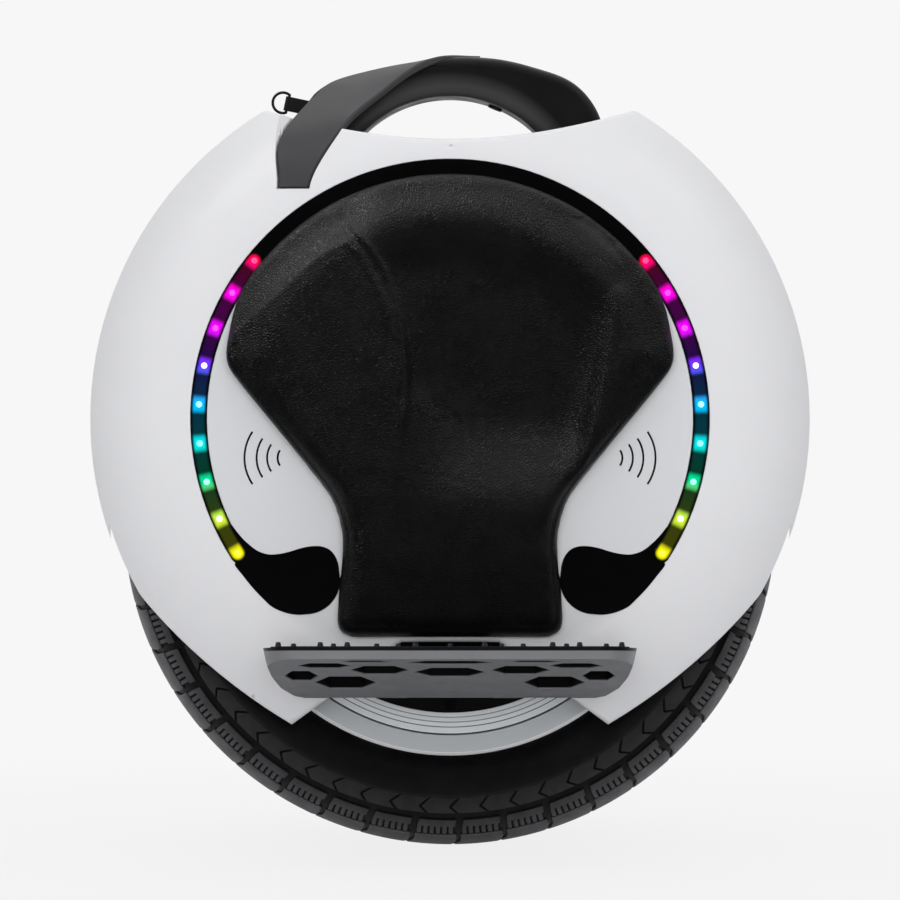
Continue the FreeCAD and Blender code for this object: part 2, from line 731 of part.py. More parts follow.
def ring_outline(grow):
    """Light ring over the top with a round lobe at each lower end, edges moved out by grow."""
    outer, inner, lobe_r = RING_R + grow, RING_IN - grow, LOBE_R + grow
    lobe = polar(RING_R - LOBE_INSET - LOBE_R, 180 + LOBE_ANGLE)
    end_out, end_in = polar(outer, 180 + RING_END), polar(inner, 180 + RING_END)
    way = lobe - end_out
    touch_angle = math.atan2(way.z, way.x) - math.asin(lobe_r / way.Length) - math.pi / 2
    leave_angle = math.radians(LOBE_LEAVE)

    def on_lobe(angle):
        return lobe + V(lobe_r * math.cos(angle), 0, lobe_r * math.sin(angle))

    touch, leave = on_lobe(touch_angle), on_lobe(leave_angle)
    chord = end_in - leave
    dip = (leave + end_in) * 0.5 + V(chord.z, 0, -chord.x).normalize() * (grow - LOBE_SAG)
    rear = [line(end_out, touch), arc(touch, on_lobe((touch_angle + leave_angle) / 2), leave),
            arc(leave, dip, end_in)]
    over = arc(end_out, polar(outer, 90), flip_x(end_out))
    under = arc(end_in, polar(inner, 90), flip_x(end_in))
    return [over, under] + rear + [other_end(e) for e in rear]


def lens():
    """Right light ring lens, flush with the shell."""
    return prism_y(ring_outline(0.0), -SIDE_HALF, -SIDE_HALF + LENS_T)


def led_blocks(size, y0, y1):
    """A small square block at each LED's place, turned with the ring."""
    block = box(RING_MIDDLE - size / 2, RING_MIDDLE + size / 2, y0, y1,
                BODY_Z - size / 2, BODY_Z + size / 2)
    rear = [turned(block, -LED_FIRST - i * LED_STEP, BODY_Z) for i in range(LED_COUNT)]
    return rear + [other_end(b) for b in rear]


def led_chips():
    """LEDs of the right ring, standing in the shell's windows."""
    return group(led_blocks(LED_SIZE, -SIDE_HALF + LENS_T + RUNNING, -INNER_Y))


def ring_sector(outer, inner, first, last):
    """Edges of a piece of a ring about the body's centre between two polar angles."""
    middle = (first + last) / 2
    return [arc(polar(outer, first), polar(outer, middle), polar(outer, last)),
            line(polar(outer, last), polar(inner, last)),
            arc(polar(inner, last), polar(inner, middle), polar(inner, first)),
            line(polar(inner, first), polar(outer, first))]


def led_board():
    """Curved boards behind the right shell that carry the LEDs, one on each half."""
    half = LED_BOARD_W / 2
    edges = ring_sector(RING_MIDDLE + half, RING_MIDDLE - half, LED_FIRST - LED_STEP / 2,
                        LED_FIRST + (LED_COUNT - 0.5) * LED_STEP)
    rear = prism_y(edges, -INNER_Y, -INNER_Y + LED_BOARD_T)
    return group([rear, other_end(rear)])


# Wheel arch and what it carries

def strip_block(inset):
    """The body's form between the shells, with its edge moved in by inset."""
    middle = box(-BODY_R, BODY_R, -STRIP_HALF, STRIP_HALF, AXLE_Z + STRIP_END, HANDLE_TOP)
    return body_block(inset).common(middle)


def wheel_arch():
    """Arch over the wheel with side walls, and ribs that carry the strip between the shells."""
    slot = AXLE_R + 2 * FIT
    well = disc(ARCH_R, -ARCH_HALF, ARCH_HALF)
    arch = disc(ARCH_OUT, -FRAME_Y, FRAME_Y).common(body_block(WALL + FIT))
    arch = arch.cut([well, disc(slot, -FRAME_Y, FRAME_Y), box(-slot, slot, -FRAME_Y, FRAME_Y, 0, AXLE_Z)])
    space = strip_block(STRIP_DROP + STRIP_T).cut(disc(ARCH_OUT - ARCH_T / 2, -FRAME_Y, FRAME_Y))
    rib = box(ARCH_R, 2 * ARCH_R, -STRIP_HALF, STRIP_HALF, AXLE_Z - RIB_T / 2, AXLE_Z + RIB_T / 2)
    ribs = [turned(rib, -a).common(space) for a in RIB_ANGLES]
    frame = arch.fuse([controller_shelf()] + ribs).removeSplitter()
    return frame.cut(mirrored([wall_screw(x, z) for x, z in boss_places() + hanger_screw_places()]))


def body_strip():
    """Strip between the shells, in sections that butt along lines through the body's centre."""
    band = strip_block(STRIP_DROP).cut([strip_block(STRIP_DROP + STRIP_T), disc(ARCH_OUT, -FRAME_Y, FRAME_Y)])
    band = band.cut(strip_holes())
    window = math.degrees(math.asin(TUB_HALF / edge_radius(STRIP_DROP)))
    joints = sorted(STRIP_JOINTS + [PORT_ANGLE - window, PORT_ANGLE + window])
    sections = []
    for first, last in zip(joints, joints[1:]):
        corners = [polar(0, 0)] + [polar(2 * BODY_R, a) for a in (first, (first + last) / 2, last)]
        sections += band.common(prism_y(chain(corners), -STRIP_HALF, STRIP_HALF)).Solids
    return group(sections)


def strip_holes():
    """Windows for the lights, the button and the charge socket, and the handle's screw holes."""
    out, back = edge_radius(STRIP_DROP), edge_radius(STRIP_DROP + STRIP_T)
    low, high = BODY_Z + back - STRIP_T, BODY_Z + out + STRIP_T
    half = TUB_HALF + FIT
    holes = [light_block(angle, FIT / 2, out + STRIP_T, back - STRIP_T) for angle in light_angles()]
    holes.append(outward(post(POWER_R + FIT, low, high), POWER_ANGLE))
    holes.append(outward(box(-half, half, -half, half, low, high), PORT_ANGLE))
    return holes + handle_screw_list()


def light_angles():
    """Polar angles of the head light and the tail light."""
    return [LIGHT_ANGLE, 180.0 - LIGHT_ANGLE]


def light_block(angle, grow, outer, inner):
    """A curved block of the strip where a light sits, larger by grow all round."""
    span = LIGHT_SPAN + math.degrees(grow / BODY_R)
    edges = ring_sector(outer, inner, angle - span, angle + span)
    return prism_y(edges, -LIGHT_HALF - grow, LIGHT_HALF + grow)


def light_lens(angle):
    """Curved lens of one light, flush with the strip."""
    return light_block(angle, 0.0, edge_radius(STRIP_DROP), edge_radius(STRIP_DROP + STRIP_T))


def light_boards():
    """Boards behind the two light lenses, wider than their windows."""
    seat = edge_radius(STRIP_DROP + STRIP_T)
    return group([light_block(a, LIGHT_RIM, seat, seat - LIGHT_BOARD_T) for a in light_angles()])


def controller_block(low, high):
    """A block at the controller's place, between two heights above the wheel arch."""
    base = AXLE_Z + ARCH_OUT
    block = box(-CONTROLLER_L / 2, CONTROLLER_L / 2, -CONTROLLER_W / 2, CONTROLLER_W / 2,
                base + low, base + high)
    return turned(block, 90.0 - CONTROLLER_ANGLE)


def controller_shelf():
    """Raised seat on the wheel arch under the controller."""
    return controller_block(-2 * SHELF_H, SHELF_H).cut(disc(ARCH_OUT - ARCH_T / 2, -FRAME_Y, FRAME_Y))


def controller():
    """Controller on its shelf."""
    return controller_block(SHELF_H, SHELF_H + CONTROLLER_H)


def heat_sink():
    """Finned plate on the controller."""
    low = SHELF_H + CONTROLLER_H
    body = controller_block(low, low + SINK_BASE + SINK_FIN)
    pitch = CONTROLLER_L / (SINK_FINS - 0.5)
    base = AXLE_Z + ARCH_OUT + low + SINK_BASE
    for i in range(SINK_FINS - 1):
        x = -CONTROLLER_L / 2 + (i + 0.5) * pitch
        gap = box(x, x + pitch / 2, -CONTROLLER_W, CONTROLLER_W, base, base + 2 * SINK_FIN)
        body = body.cut(turned(gap, 90.0 - CONTROLLER_ANGLE))
    return body


def battery():
    """Right battery pack between the wheel arch and the shell."""
    block = box(-BATTERY_HALF, BATTERY_HALF, BATTERY_GAP - INNER_Y, -FRAME_Y, *BATTERY_Z)
    across = [e for e in block.Edges if abs(e.tangentAt(e.FirstParameter).y) > 0.99]
    return block.makeFillet(BATTERY_ROUND, across)


def power_button():
    """Round power button in the strip."""
    low = BODY_Z + edge_radius(STRIP_DROP + STRIP_T) - STRIP_T
    high = BODY_Z + edge_radius(STRIP_DROP) + STRIP_DROP / 2
    return outward(post(POWER_R, low, high), POWER_ANGLE)


def power_switch():
    """Cup behind the strip that the power button is pushed into."""
    back = edge_radius(STRIP_DROP + STRIP_T)
    floor = BODY_Z + back - STRIP_T - POWER_TRAVEL - FIT
    cup = post(POWER_R + SWITCH_WALL, floor - SWITCH_WALL, BODY_Z + back)
    cup = cup.cut(post(POWER_R + FIT, floor, BODY_Z + back))
    return outward(cup.common(disc(back, -BODY_R, BODY_R, 0, BODY_Z)), POWER_ANGLE)


def charge_socket():
    """Tub let into the strip, with a flange behind it and a round socket in its floor."""
    out, back = edge_radius(STRIP_DROP), edge_radius(STRIP_DROP + STRIP_T)
    floor = BODY_Z + out - POCKET_DEPTH
    wide = TUB_HALF + 2 * TUB_WALL
    under = floor - TUB_WALL
    tub = box(-TUB_HALF, TUB_HALF, -TUB_HALF, TUB_HALF, under, BODY_Z + out)
    flange = box(-wide, wide, -wide, wide, under, BODY_Z + back)
    body = tub.common(disc(out, -BODY_R, BODY_R, 0, BODY_Z))
    body = body.fuse([flange.common(disc(back, -BODY_R, BODY_R, 0, BODY_Z)),
                      post(PORT_BODY_R, floor - PORT_DEPTH - TUB_WALL, floor)]).removeSplitter()
    pocket = box(-POCKET_HALF, POCKET_HALF, -POCKET_HALF, POCKET_HALF, floor, BODY_Z + out)
    return outward(body.cut([pocket, post(PORT_R, floor - PORT_DEPTH, floor)]), PORT_ANGLE)


def charge_cap():
    """Flat cap in the tub, with a round knuckle along its upper edge that it turns on."""
    floor = BODY_Z + edge_radius(STRIP_DROP) - POCKET_DEPTH
    half = POCKET_HALF - FIT
    edge, face = CAP_KNUCKLE_R - half, floor + FIT + CAP_T
    cap = box(edge, half, -half, half, floor + FIT, face)
    free_end = [e for e in upright_edges(cap) if e.Vertexes[0].X > 0]
    knuckle = Part.makeCylinder(CAP_KNUCKLE_R, 2 * half, V(edge, -half, face), Y_AXIS)
    return outward(cap.makeFillet(CAP_ROUND, free_end).fuse(knuckle).removeSplitter(), PORT_ANGLE)


# Leg pads

def pad_outline():
    """Pad outline: round top, two wings, a waist and a round-cornered foot."""
    half_arc = math.radians(90 - PAD_ARC_END) / 2
    crown = polar(PAD_R / math.cos(half_arc), (90 + PAD_ARC_END) / 2)
    shoulder = polar(PAD_R, PAD_ARC_END)
    wing = shoulder + (shoulder - crown).normalize() * PAD_WING
    corners = [(crown, PAD_R), (wing, PAD_WING_R)] + [(point(x, z), r) for x, z, r in PAD_CORNERS]
    return round_chain(corners + [(flip_x(p), r) for p, r in reversed(corners)])


def pad():
    """Right leg pad: swollen at the top, thin at the foot, with a hollow for the calf."""
    full = SIDE_HALF + PAD_FULL
    top = BODY_Z + PAD_R
    front = [V(-BODY_R, -SIDE_HALF - t, z) for t, z in
             ((PAD_CROWN, top), (PAD_FULL, PAD_SWELL_Z), (PAD_LEDGE, PAD_DISH_Z), (PAD_THIN, PAD_FOOT_Z))]
    curve = Part.BSplineCurve()
    curve.interpolate(front)
    sole, spine = V(-BODY_R, 0, PAD_FOOT_Z), V(-BODY_R, 0, top)
    section = [curve.toShape(), line(front[-1], sole), line(sole, spine), line(spine, front[0])]
    slab = prism(section, V(0, 0, 0), V(2 * BODY_R, 0, 0))
    blank = prism_y(pad_outline(), -full, -SIDE_HALF - FIT).common(slab).Solids[0]
    rim_edges = [e for e in blank.Edges if min(abs(v.Y) for v in e.Vertexes) > SIDE_HALF + PAD_THIN / 2]
    return blank.makeFillet(PAD_ROUND, rim_edges).cut(calf_hollow())


def calf_hollow():
    """Hollow with sloping sides, sunk into the pad's upper part, its rear edge slanted."""
    floor = SIDE_HALF + PAD_FULL - 2 * PAD_DISH
    depth = 4 * PAD_DISH
    corners = [(point(x, z, -floor), r) for x, z, r in PAD_DISH_CORNERS]
    low = Part.Wire(Part.__sortEdges__(round_chain(corners)))
    high = low.makeOffset2D(depth)
    high.translate(V(0, -depth, 0))
    return Part.makeLoft([low, high], True, True)


# Carry handle

def handle_block():
    """The handle's arch with soft edges, before its recess and pocket are cut."""
    hip = point(HANDLE_FOOT_X, saddle_height(HANDLE_FOOT_X, 2 * STRIP_T))
    sole = point(HANDLE_FOOT_X, SADDLE_Z - STRIP_T)
    front = [hip] + [point(x, z) for x, z in HANDLE_SHOULDER]
    over = Part.BSplineCurve()
    over.interpolate(front + [point(0, HANDLE_TOP)] + [flip_x(p) for p in reversed(front)])
    outline = [over.toShape(), line(hip, sole), line(flip_x(hip), flip_x(sole)), line(sole, flip_x(sole))]
    block = prism_y(outline, -HANDLE_HALF, HANDLE_HALF).common(saddle_bar(STRIP_DROP))
    block = block.cut(disc(HANDLE_ARCH_R, -HANDLE_HALF, HANDLE_HALF, 0, HANDLE_ARCH_Z)).Solids[0]
    return block.makeFillet(HANDLE_ROUND, [e for e in block.Edges if on_handle_side(e)])


def on_handle_side(edge):
    """Whether an edge runs along the arch on one of the handle's sides, not along its feet."""
    box_of = edge.BoundBox
    side = box_of.YLength < FIT and abs(box_of.Center.y) > HANDLE_HALF - FIT
    foot = edge.Curve.TypeId == "Part::GeomCircle" and abs(edge.Curve.Radius - SADDLE_R) < 2 * STRIP_T
    return side and not foot


def carry_handle():
    """Arched handle on the strip, with the grip's recess, the lift button's pocket and screw holes."""
    pocket = post(LIFT_R + FIT, HANDLE_ARCH_TOP - LIFT_R, HANDLE_ARCH_TOP + LIFT_DEPTH + LIFT_TRAVEL + FIT)
    pocket = turned(pocket, LIFT_ANGLE, HANDLE_ARCH_Z)
    return handle_block().cut([grip_cutter(), pocket] + handle_screw_list())


def lift_button():
    """Button under the arch that is pressed in when the vehicle is picked up."""
    button = post(LIFT_R, HANDLE_ARCH_TOP - LIFT_PROUD, HANDLE_ARCH_TOP + LIFT_DEPTH)
    return turned(button, LIFT_ANGLE, HANDLE_ARCH_Z)


def handle_screw_list():
    """Four screws from inside the strip up into the handle's feet."""
    seat = saddle_height(HANDLE_SCREW_X - SCREW_HEAD_R, STRIP_DROP + STRIP_T)
    screw = post(SCREW_HEAD_R, seat - SCREW_HEAD_H, seat, HANDLE_SCREW_X, -HANDLE_SCREW_Y)
    screw = screw.fuse(post(SCREW_R, seat, seat + 1.5 * SCREW_L, HANDLE_SCREW_X, -HANDLE_SCREW_Y))
    return mirrored([screw, other_end(screw)])


def tether_frame(shape):
    """Carry a shape drawn at the tether's hinge to its place, leaning with the tab."""
    copy = shape.copy()
    copy.rotate(V(0, 0, 0), Y_AXIS, TAB_TILT)
    copy.translate(V(-TAB_OUT, 0, TAB_Z))
    return copy


def tether_tab():
    """Tab on the handle's rear shoulder with an eye for the ring."""
    tab = box(-TETHER_EYE, TAB_L, -TAB_T / 2, TAB_T / 2, -TAB_H / 2, TAB_H / 2)
    outer = [e for e in upright_edges(tab) if e.Vertexes[0].X < 0]
    tab = tab.makeFillet(0.45 * TAB_T, outer).cut(post(TETHER_R + RUNNING, -TAB_H, TAB_H))
    return tether_frame(tab).cut(handle_block())


def tether_ring():
    """Wire ring with a straight bar through the tab's eye and a round bow."""
    half = TAB_H / 2 + TETHER_R + FIT
    bow = Part.Wire(arc(V(0, 0, half), V(-TETHER_REACH, 0, 0), V(0, 0, -half)))
    start = bow.Edges[0]
    section = Part.Wire(Part.makeCircle(TETHER_R, V(0, 0, half), start.tangentAt(start.FirstParameter)))
    wire = bow.makePipeShell([section], True, False)
    knees = [Part.makeSphere(TETHER_R, V(0, 0, s * half)) for s in (1, -1)]
    return tether_frame(wire.fuse([post(TETHER_R, -half, half)] + knees).removeSplitter())


# Trolley handle

def grip_section(index, levels):
    """Outline across the grip at one station from (height over its outer face, extra width) levels."""
    near, far = V(*GRIP_NEAR[index]), V(*GRIP_FAR[index])
    last = len(GRIP_NEAR) - 1
    before, after = max(index - 1, 0), min(index + 1, last)
    run = V(*GRIP_NEAR[after]) + V(*GRIP_FAR[after]) - V(*GRIP_NEAR[before]) - V(*GRIP_FAR[before])
    run.normalize()
    width = (far - near).normalize()
    out = width.cross(run).normalize()
    longer = levels[0][1] * ((index == last) - (index == 0))
    one = [near - width * extra + out * height + run * longer for height, extra in levels]
    two = [far + width * extra + out * height + run * longer for height, extra in reversed(levels)]
    return Part.makePolygon(one + two + one[:1])


def grip_loft(levels):
    """Twisted band along the grip's line with the given cross-section."""
    return Part.makeLoft([grip_section(i, levels) for i in range(len(GRIP_NEAR))], True, False)


def trolley_grip():
    """Grip that lies on the carry handle and twists down over the right shell."""
    soft = GRIP_ROUND
    return grip_loft([(-GRIP_T, -soft), (soft - GRIP_T, 0.0), (-soft, 0.0), (0.0, -soft)])


def grip_cutter():
    """Room for the grip in the handle and the shell, wider outwards so that the grip lifts out."""
    return grip_loft([(-GRIP_T - GRIP_GAP, GRIP_GAP), (0.0, 2 * GRIP_GAP), (4 * GRIP_T, 3 * GRIP_T)])


def trolley_sleeve():
    """Outer tube of the trolley on two feet against the wheel arch."""
    tube = bar(SLEEVE_W, SLEEVE_T, SLEEVE_Z, SLEEVE_TOP)
    tube = tube.cut(bar(MIDDLE_W + 2 * FIT, MIDDLE_T + 2 * FIT, SLEEVE_Z + TUBE_T, SLEEVE_TOP))
    feet = [box(TROLLEY_X - SLEEVE_W / 2, TROLLEY_X + SLEEVE_W / 2, TROLLEY_Y + SLEEVE_T / 2, -FRAME_Y,
                z, z + SLEEVE_FOOT_H) for z in SLEEVE_FEET]
    return tube.fuse(feet).removeSplitter()


def trolley_middle():
    """Middle tube of the trolley."""
    low = SLEEVE_Z + STAGE_STEP
    tube = bar(MIDDLE_W, MIDDLE_T, low, SLEEVE_TOP)
    return tube.cut(bar(ROD_W + 2 * FIT, ROD_T + 2 * FIT, low + TUBE_T, SLEEVE_TOP))


def trolley_rod():
    """Inner rod of the trolley, cut to fit the underside of the grip."""
    rod = bar(ROD_W, ROD_T, SLEEVE_Z + 2 * STAGE_STEP, HANDLE_TOP)
    pieces = rod.cut(grip_loft([(-GRIP_T, GRIP_GAP), (4 * GRIP_T, GRIP_GAP)])).Solids
    return min(pieces, key=lambda s: s.BoundBox.ZMin)


# Pedals and hangers

def pedal_frame(shape):
    """Carry a shape drawn about the right pedal's hinge to its place, lip raised."""
    copy = shape.copy()
    copy.rotate(V(0, 0, 0), X_AXIS, -PEDAL_TILT)
    copy.translate(V(0, -PIN_Y, PIN_Z))
    return copy


def pedal_plan(inset, z0, z1):
    """The pedal's outline from above, round at the lip, drawn between two heights."""
    half = PEDAL_HALF - inset
    plan = box(-half, half, inset - PEDAL_OUT, PEDAL_IN - inset, z0, z1)
    lip = [e for e in upright_edges(plan) if e.Vertexes[0].Y < 0]
    return plan.makeFillet(PEDAL_CORNER - inset, lip)


def pedal():
    """Right pedal: a wedge with round ends, hexagonal pockets underneath and two hinge ears."""
    keel, lip = PEDAL_TOP - PEDAL_KEEL, PEDAL_TOP - PEDAL_LIP
    side = [V(-PEDAL_HALF, PEDAL_IN, PEDAL_TOP), V(-PEDAL_HALF, -PEDAL_OUT, PEDAL_TOP),
            V(-PEDAL_HALF, -PEDAL_OUT, lip), V(-PEDAL_HALF, -PEDAL_KEEL_AT, keel),
            V(-PEDAL_HALF, PEDAL_IN / 4, keel), V(-PEDAL_HALF, PEDAL_IN, keel + PEDAL_IN)]
    wedge = prism(chain(side), V(0, 0, 0), V(2 * PEDAL_HALF, 0, 0))
    edge, root = point(PEDAL_HALF, lip), point(PEDAL_KEEL_HALF, keel)
    bulge = (edge + root) * 0.5 + V(PEDAL_SWELL, 0, -PEDAL_SWELL)
    top = point(PEDAL_HALF, PEDAL_TOP)
    end = [arc(edge, bulge, root), line(top, edge)]
    hull = end + [other_end(e) for e in end] + [line(root, flip_x(root)), line(top, flip_x(top))]
    body = wedge.common(prism_y(hull, -PEDAL_OUT, PEDAL_IN)).common(pedal_plan(0.0, keel, PEDAL_TOP))
    body = body.cut(hex_pockets(keel, PEDAL_TOP - PEDAL_PLATE))
    clear = KNUCKLE_R + 4 * FIT
    slot = box(-KNUCKLE_SLOT, KNUCKLE_SLOT, -clear, PEDAL_IN, keel, PEDAL_TOP)
    ear = KNUCKLE_SLOT + PIN_EAR
    hollow = box(ear, ear + EAR_POCKET, -KNUCKLE_R, PEDAL_IN, keel, PEDAL_TOP - PEDAL_PLATE)
    return pedal_frame(body.cut([slot, hollow, other_end(hollow), pin_bar(PIN_R + RUNNING)]))


def hex_pockets(low, high):
    """Six-sided pockets under the pedal, the same on both halves."""
    pockets = []
    for x, out, length, width in HEX_POCKETS:
        corners = [V(x + sx * length / 2, -out + sy * width / 2, low)
                   for sx, sy in ((1, 0), (0.5, 1), (-0.5, 1), (-1, 0), (-0.5, -1), (0.5, -1))]
        pocket = prism(chain(corners), V(0, 0, 0), V(0, 0, high - low))
        pockets += [pocket] if x == 0 else [pocket, other_end(pocket)]
    return pockets


def pin_bar(radius):
    """A round bar along the pedal's hinge, as long as the pin."""
    half = KNUCKLE_SLOT + PIN_EAR
    return Part.makeCylinder(radius, 2 * half, V(-half, 0, 0), X_AXIS)


def hinge_pin():
    """Right pedal's hinge pin."""
    return pedal_frame(pin_bar(PIN_R))


def stud_places():
    """Places of the studs on a pedal, from above."""
    return [(s * x, -out) for out, row in STUD_ROWS for x in row for s in (1, -1) if x or s > 0]


def pedal_mat():
    """Grip sheet on the right pedal, with a hole round each stud."""
    sheet = pedal_plan(MAT_INSET, PEDAL_TOP, PEDAL_TOP + MAT_T)
    clear = KNUCKLE_R + 4 * FIT + MAT_INSET
    half = KNUCKLE_SLOT + MAT_INSET
    slot = box(-half, half, -clear, PEDAL_IN, PEDAL_TOP, PEDAL_TOP + MAT_T)
    holes = [post(STUD_R + FIT, PEDAL_TOP, PEDAL_TOP + MAT_T, x, y) for x, y in stud_places()]
    return pedal_frame(sheet.cut([slot] + holes))


def pedal_studs():
    """Tapered studs on the right pedal."""
    return group([pedal_frame(Part.makeCone(STUD_R, STUD_TIP_R, STUD_H, V(x, y, PEDAL_TOP)))
                  for x, y in stud_places()])


def hanger():
    """Right hanger: plate on the axle with an arm out to the pedal's knuckle."""
    arm_top = NOTCH_Z - 3 * FIT - WALL / 2
    knuckle_top, knuckle_low = PIN_Z + KNUCKLE_R, PIN_Z - KNUCKLE_R
    plate_top, arm_low = AXLE_Z + HANGER_TOP, arm_top - HANGER_ARM
    section = [(FRAME_Y, plate_top), (HANGER_Y, plate_top), (HANGER_Y, arm_top), (PIN_Y, knuckle_top),
               (PIN_Y, knuckle_low), (HANGER_Y, arm_low), (FRAME_Y, arm_low)]
    corners = [V(-HANGER_HALF, -y, z) for y, z in section]
    plate = prism(chain(corners), V(0, 0, 0), V(2 * HANGER_HALF, 0, 0))
    knuckle = Part.makeCylinder(KNUCKLE_R, 2 * HANGER_HALF, V(-HANGER_HALF, -PIN_Y, PIN_Z), X_AXIS)
    body = plate.fuse(knuckle).removeSplitter()
    return body.cut([axle(), hinge_pin()] + [wall_screw(x, z) for x, z in hanger_screw_places()])


def hanger_screw_places():
    """Side-view places of the hangers' screws."""
    x, rise = HANGER_SCREW
    return [(x, AXLE_Z + rise), (-x, AXLE_Z + rise)]


def hanger_screws():
    """Screws that hold the hangers to the wheel arch."""
    return group(mirrored([wall_screw(x, z) for x, z in hanger_screw_places()]))


# Nodes

def nodes():
    """Every node by name."""
    shell = plain_shell()
    made = {
        "tyre": tyre(), "inner_tube": inner_tube(), "valve_stem": valve_stem(), "rim": rim(),
        "rotor_ring": rotor_ring(), "rotor_magnets": rotor_magnets(), "cover_screws": cover_screws(),
        "axle": axle(), "stator_core": stator_core(), "stator_windings": stator_windings(),
        "wheel_arch": wheel_arch(), "body_strip": body_strip(),
        "right_shell": trolley_shell(shell), "left_shell": other_side(shell),
        "body_screws": body_screws(), "hanger_screws": hanger_screws(), "speakers": speakers(),
        "controller": controller(), "heat_sink": heat_sink(),
        "head_light_lens": light_lens(LIGHT_ANGLE), "tail_light_lens": light_lens(180.0 - LIGHT_ANGLE),
        "light_boards": light_boards(), "carry_handle": carry_handle(),
        "lift_button": lift_button(),
        "power_button": power_button(), "power_switch": power_switch(),
        "charge_socket": charge_socket(), "charge_cap": charge_cap(),
        "tether_tab": tether_tab(), "tether_ring": tether_ring(),
        "trolley_sleeve": trolley_sleeve(), "trolley_middle": trolley_middle(),
        "trolley_rod": trolley_rod(), "trolley_grip": trolley_grip(),
    }
    pairs = {
        "motor_cover": motor_cover(), "bearing": bearing(), "axle_nut": axle_nut(), "hanger": hanger(),
        "hinge_pin": hinge_pin(), "pedal": pedal(), "pedal_mat": pedal_mat(), "pedal_studs": pedal_studs(),
        "light_ring": lens(), "leds": led_chips(), "led_board": led_board(), "leg_pad": pad(),
        "battery": battery(),
    }
    for name, shape in pairs.items():
        made["right_" + name] = shape
        made["left_" + name] = other_side(shape)
    return made


def main():
    """Write one STEP file for each node."""
    os.makedirs("parts", exist_ok=True)
    for name, shape in nodes().items():
        shape.exportStep(os.path.join("parts", name + ".step"))


main()
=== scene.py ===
"""Looks of the electric unicycle: leg pads, tread, ring lights, pedals, finishes and studio."""
import logging
import math
from collections import Counter
from dataclasses import dataclass
from enum import Enum
from typing import Callable, Sequence

import bpy
import numpy as np
from mathutils import Matrix, Vector, kdtree


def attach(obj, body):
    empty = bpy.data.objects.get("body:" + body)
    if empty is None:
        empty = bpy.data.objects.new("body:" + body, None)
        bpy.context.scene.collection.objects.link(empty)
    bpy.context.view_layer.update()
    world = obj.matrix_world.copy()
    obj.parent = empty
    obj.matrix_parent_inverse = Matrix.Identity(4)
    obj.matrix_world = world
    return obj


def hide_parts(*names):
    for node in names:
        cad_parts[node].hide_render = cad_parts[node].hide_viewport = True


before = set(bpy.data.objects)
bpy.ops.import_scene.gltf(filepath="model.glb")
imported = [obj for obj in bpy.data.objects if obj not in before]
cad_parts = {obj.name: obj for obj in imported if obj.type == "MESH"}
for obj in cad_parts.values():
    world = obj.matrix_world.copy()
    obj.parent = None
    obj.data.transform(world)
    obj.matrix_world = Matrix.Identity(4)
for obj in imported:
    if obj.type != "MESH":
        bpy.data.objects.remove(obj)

LOG = logging.getLogger("unicycle")
Piece = bpy.types.Object
Socket = bpy.types.NodeSocket
Feed = Socket | float
Point2 = tuple[float, float]
Point3 = tuple[float, float, float]
Colour = Point3
Line = tuple[Point2, ...]
Bands = tuple[tuple[float, Colour], ...]

AXLE = Vector((0.0, 0.0, 0.207))
HOUSING = Vector((0.0, 0.0, 0.2697))
MIRROR = Matrix.Diagonal((1, -1, 1, 1))
TYRE_RING = 0.1785
TYRE_TUBE = 0.0285
TYRE_GROOVE = 0.0022
LIGHT_RADIUS = 0.1553
LIGHT_FIRST = math.radians(51.1)
LIGHT_STEP = math.radians(8.92)
PEDAL_HINGE = (0.084, 0.118)
PEDAL_TILT = math.radians(4.5)
WELD = 0.00001

NOISE_LOW, NOISE_HIGH = 0.3, 0.7
TONE_SCALE = 23.0
GLOSS_SCALE = 61.0
FINE_DETAIL = 3.0
LEAST_ROUGHNESS = 0.02


def tint(*steps: int) -> Colour:
    """Turn a colour of three steps from 0 to 255, as a screen shows it, into linear light."""
    shares = (step / 255 for step in steps)
    return tuple(s / 12.92 if s <= 0.04045 else ((s + 0.055) / 1.055) ** 2.4 for s in shares)


def ease(value: np.ndarray, low: float, high: float | np.ndarray) -> np.ndarray:
    """Return a smooth step from 0 at low to 1 at high."""
    share = np.clip((value - low) / (high - low), 0.0, 1.0)
    return share * share * (3 - 2 * share)


def fade_in(value: np.ndarray, run: float | np.ndarray) -> np.ndarray:
    """Return a rise from 0 at no distance towards 1, over a run."""
    return 1 - np.exp(-np.maximum(value, 0.0) / run)


class Side(Enum):
    """The two sides of the machine, by the sign of their y."""

    RIGHT = -1
    LEFT = 1

    def named(self, name: str) -> str:
        """Return a name with the side's word in place of its star."""
        return name.replace("*", self.name.lower())


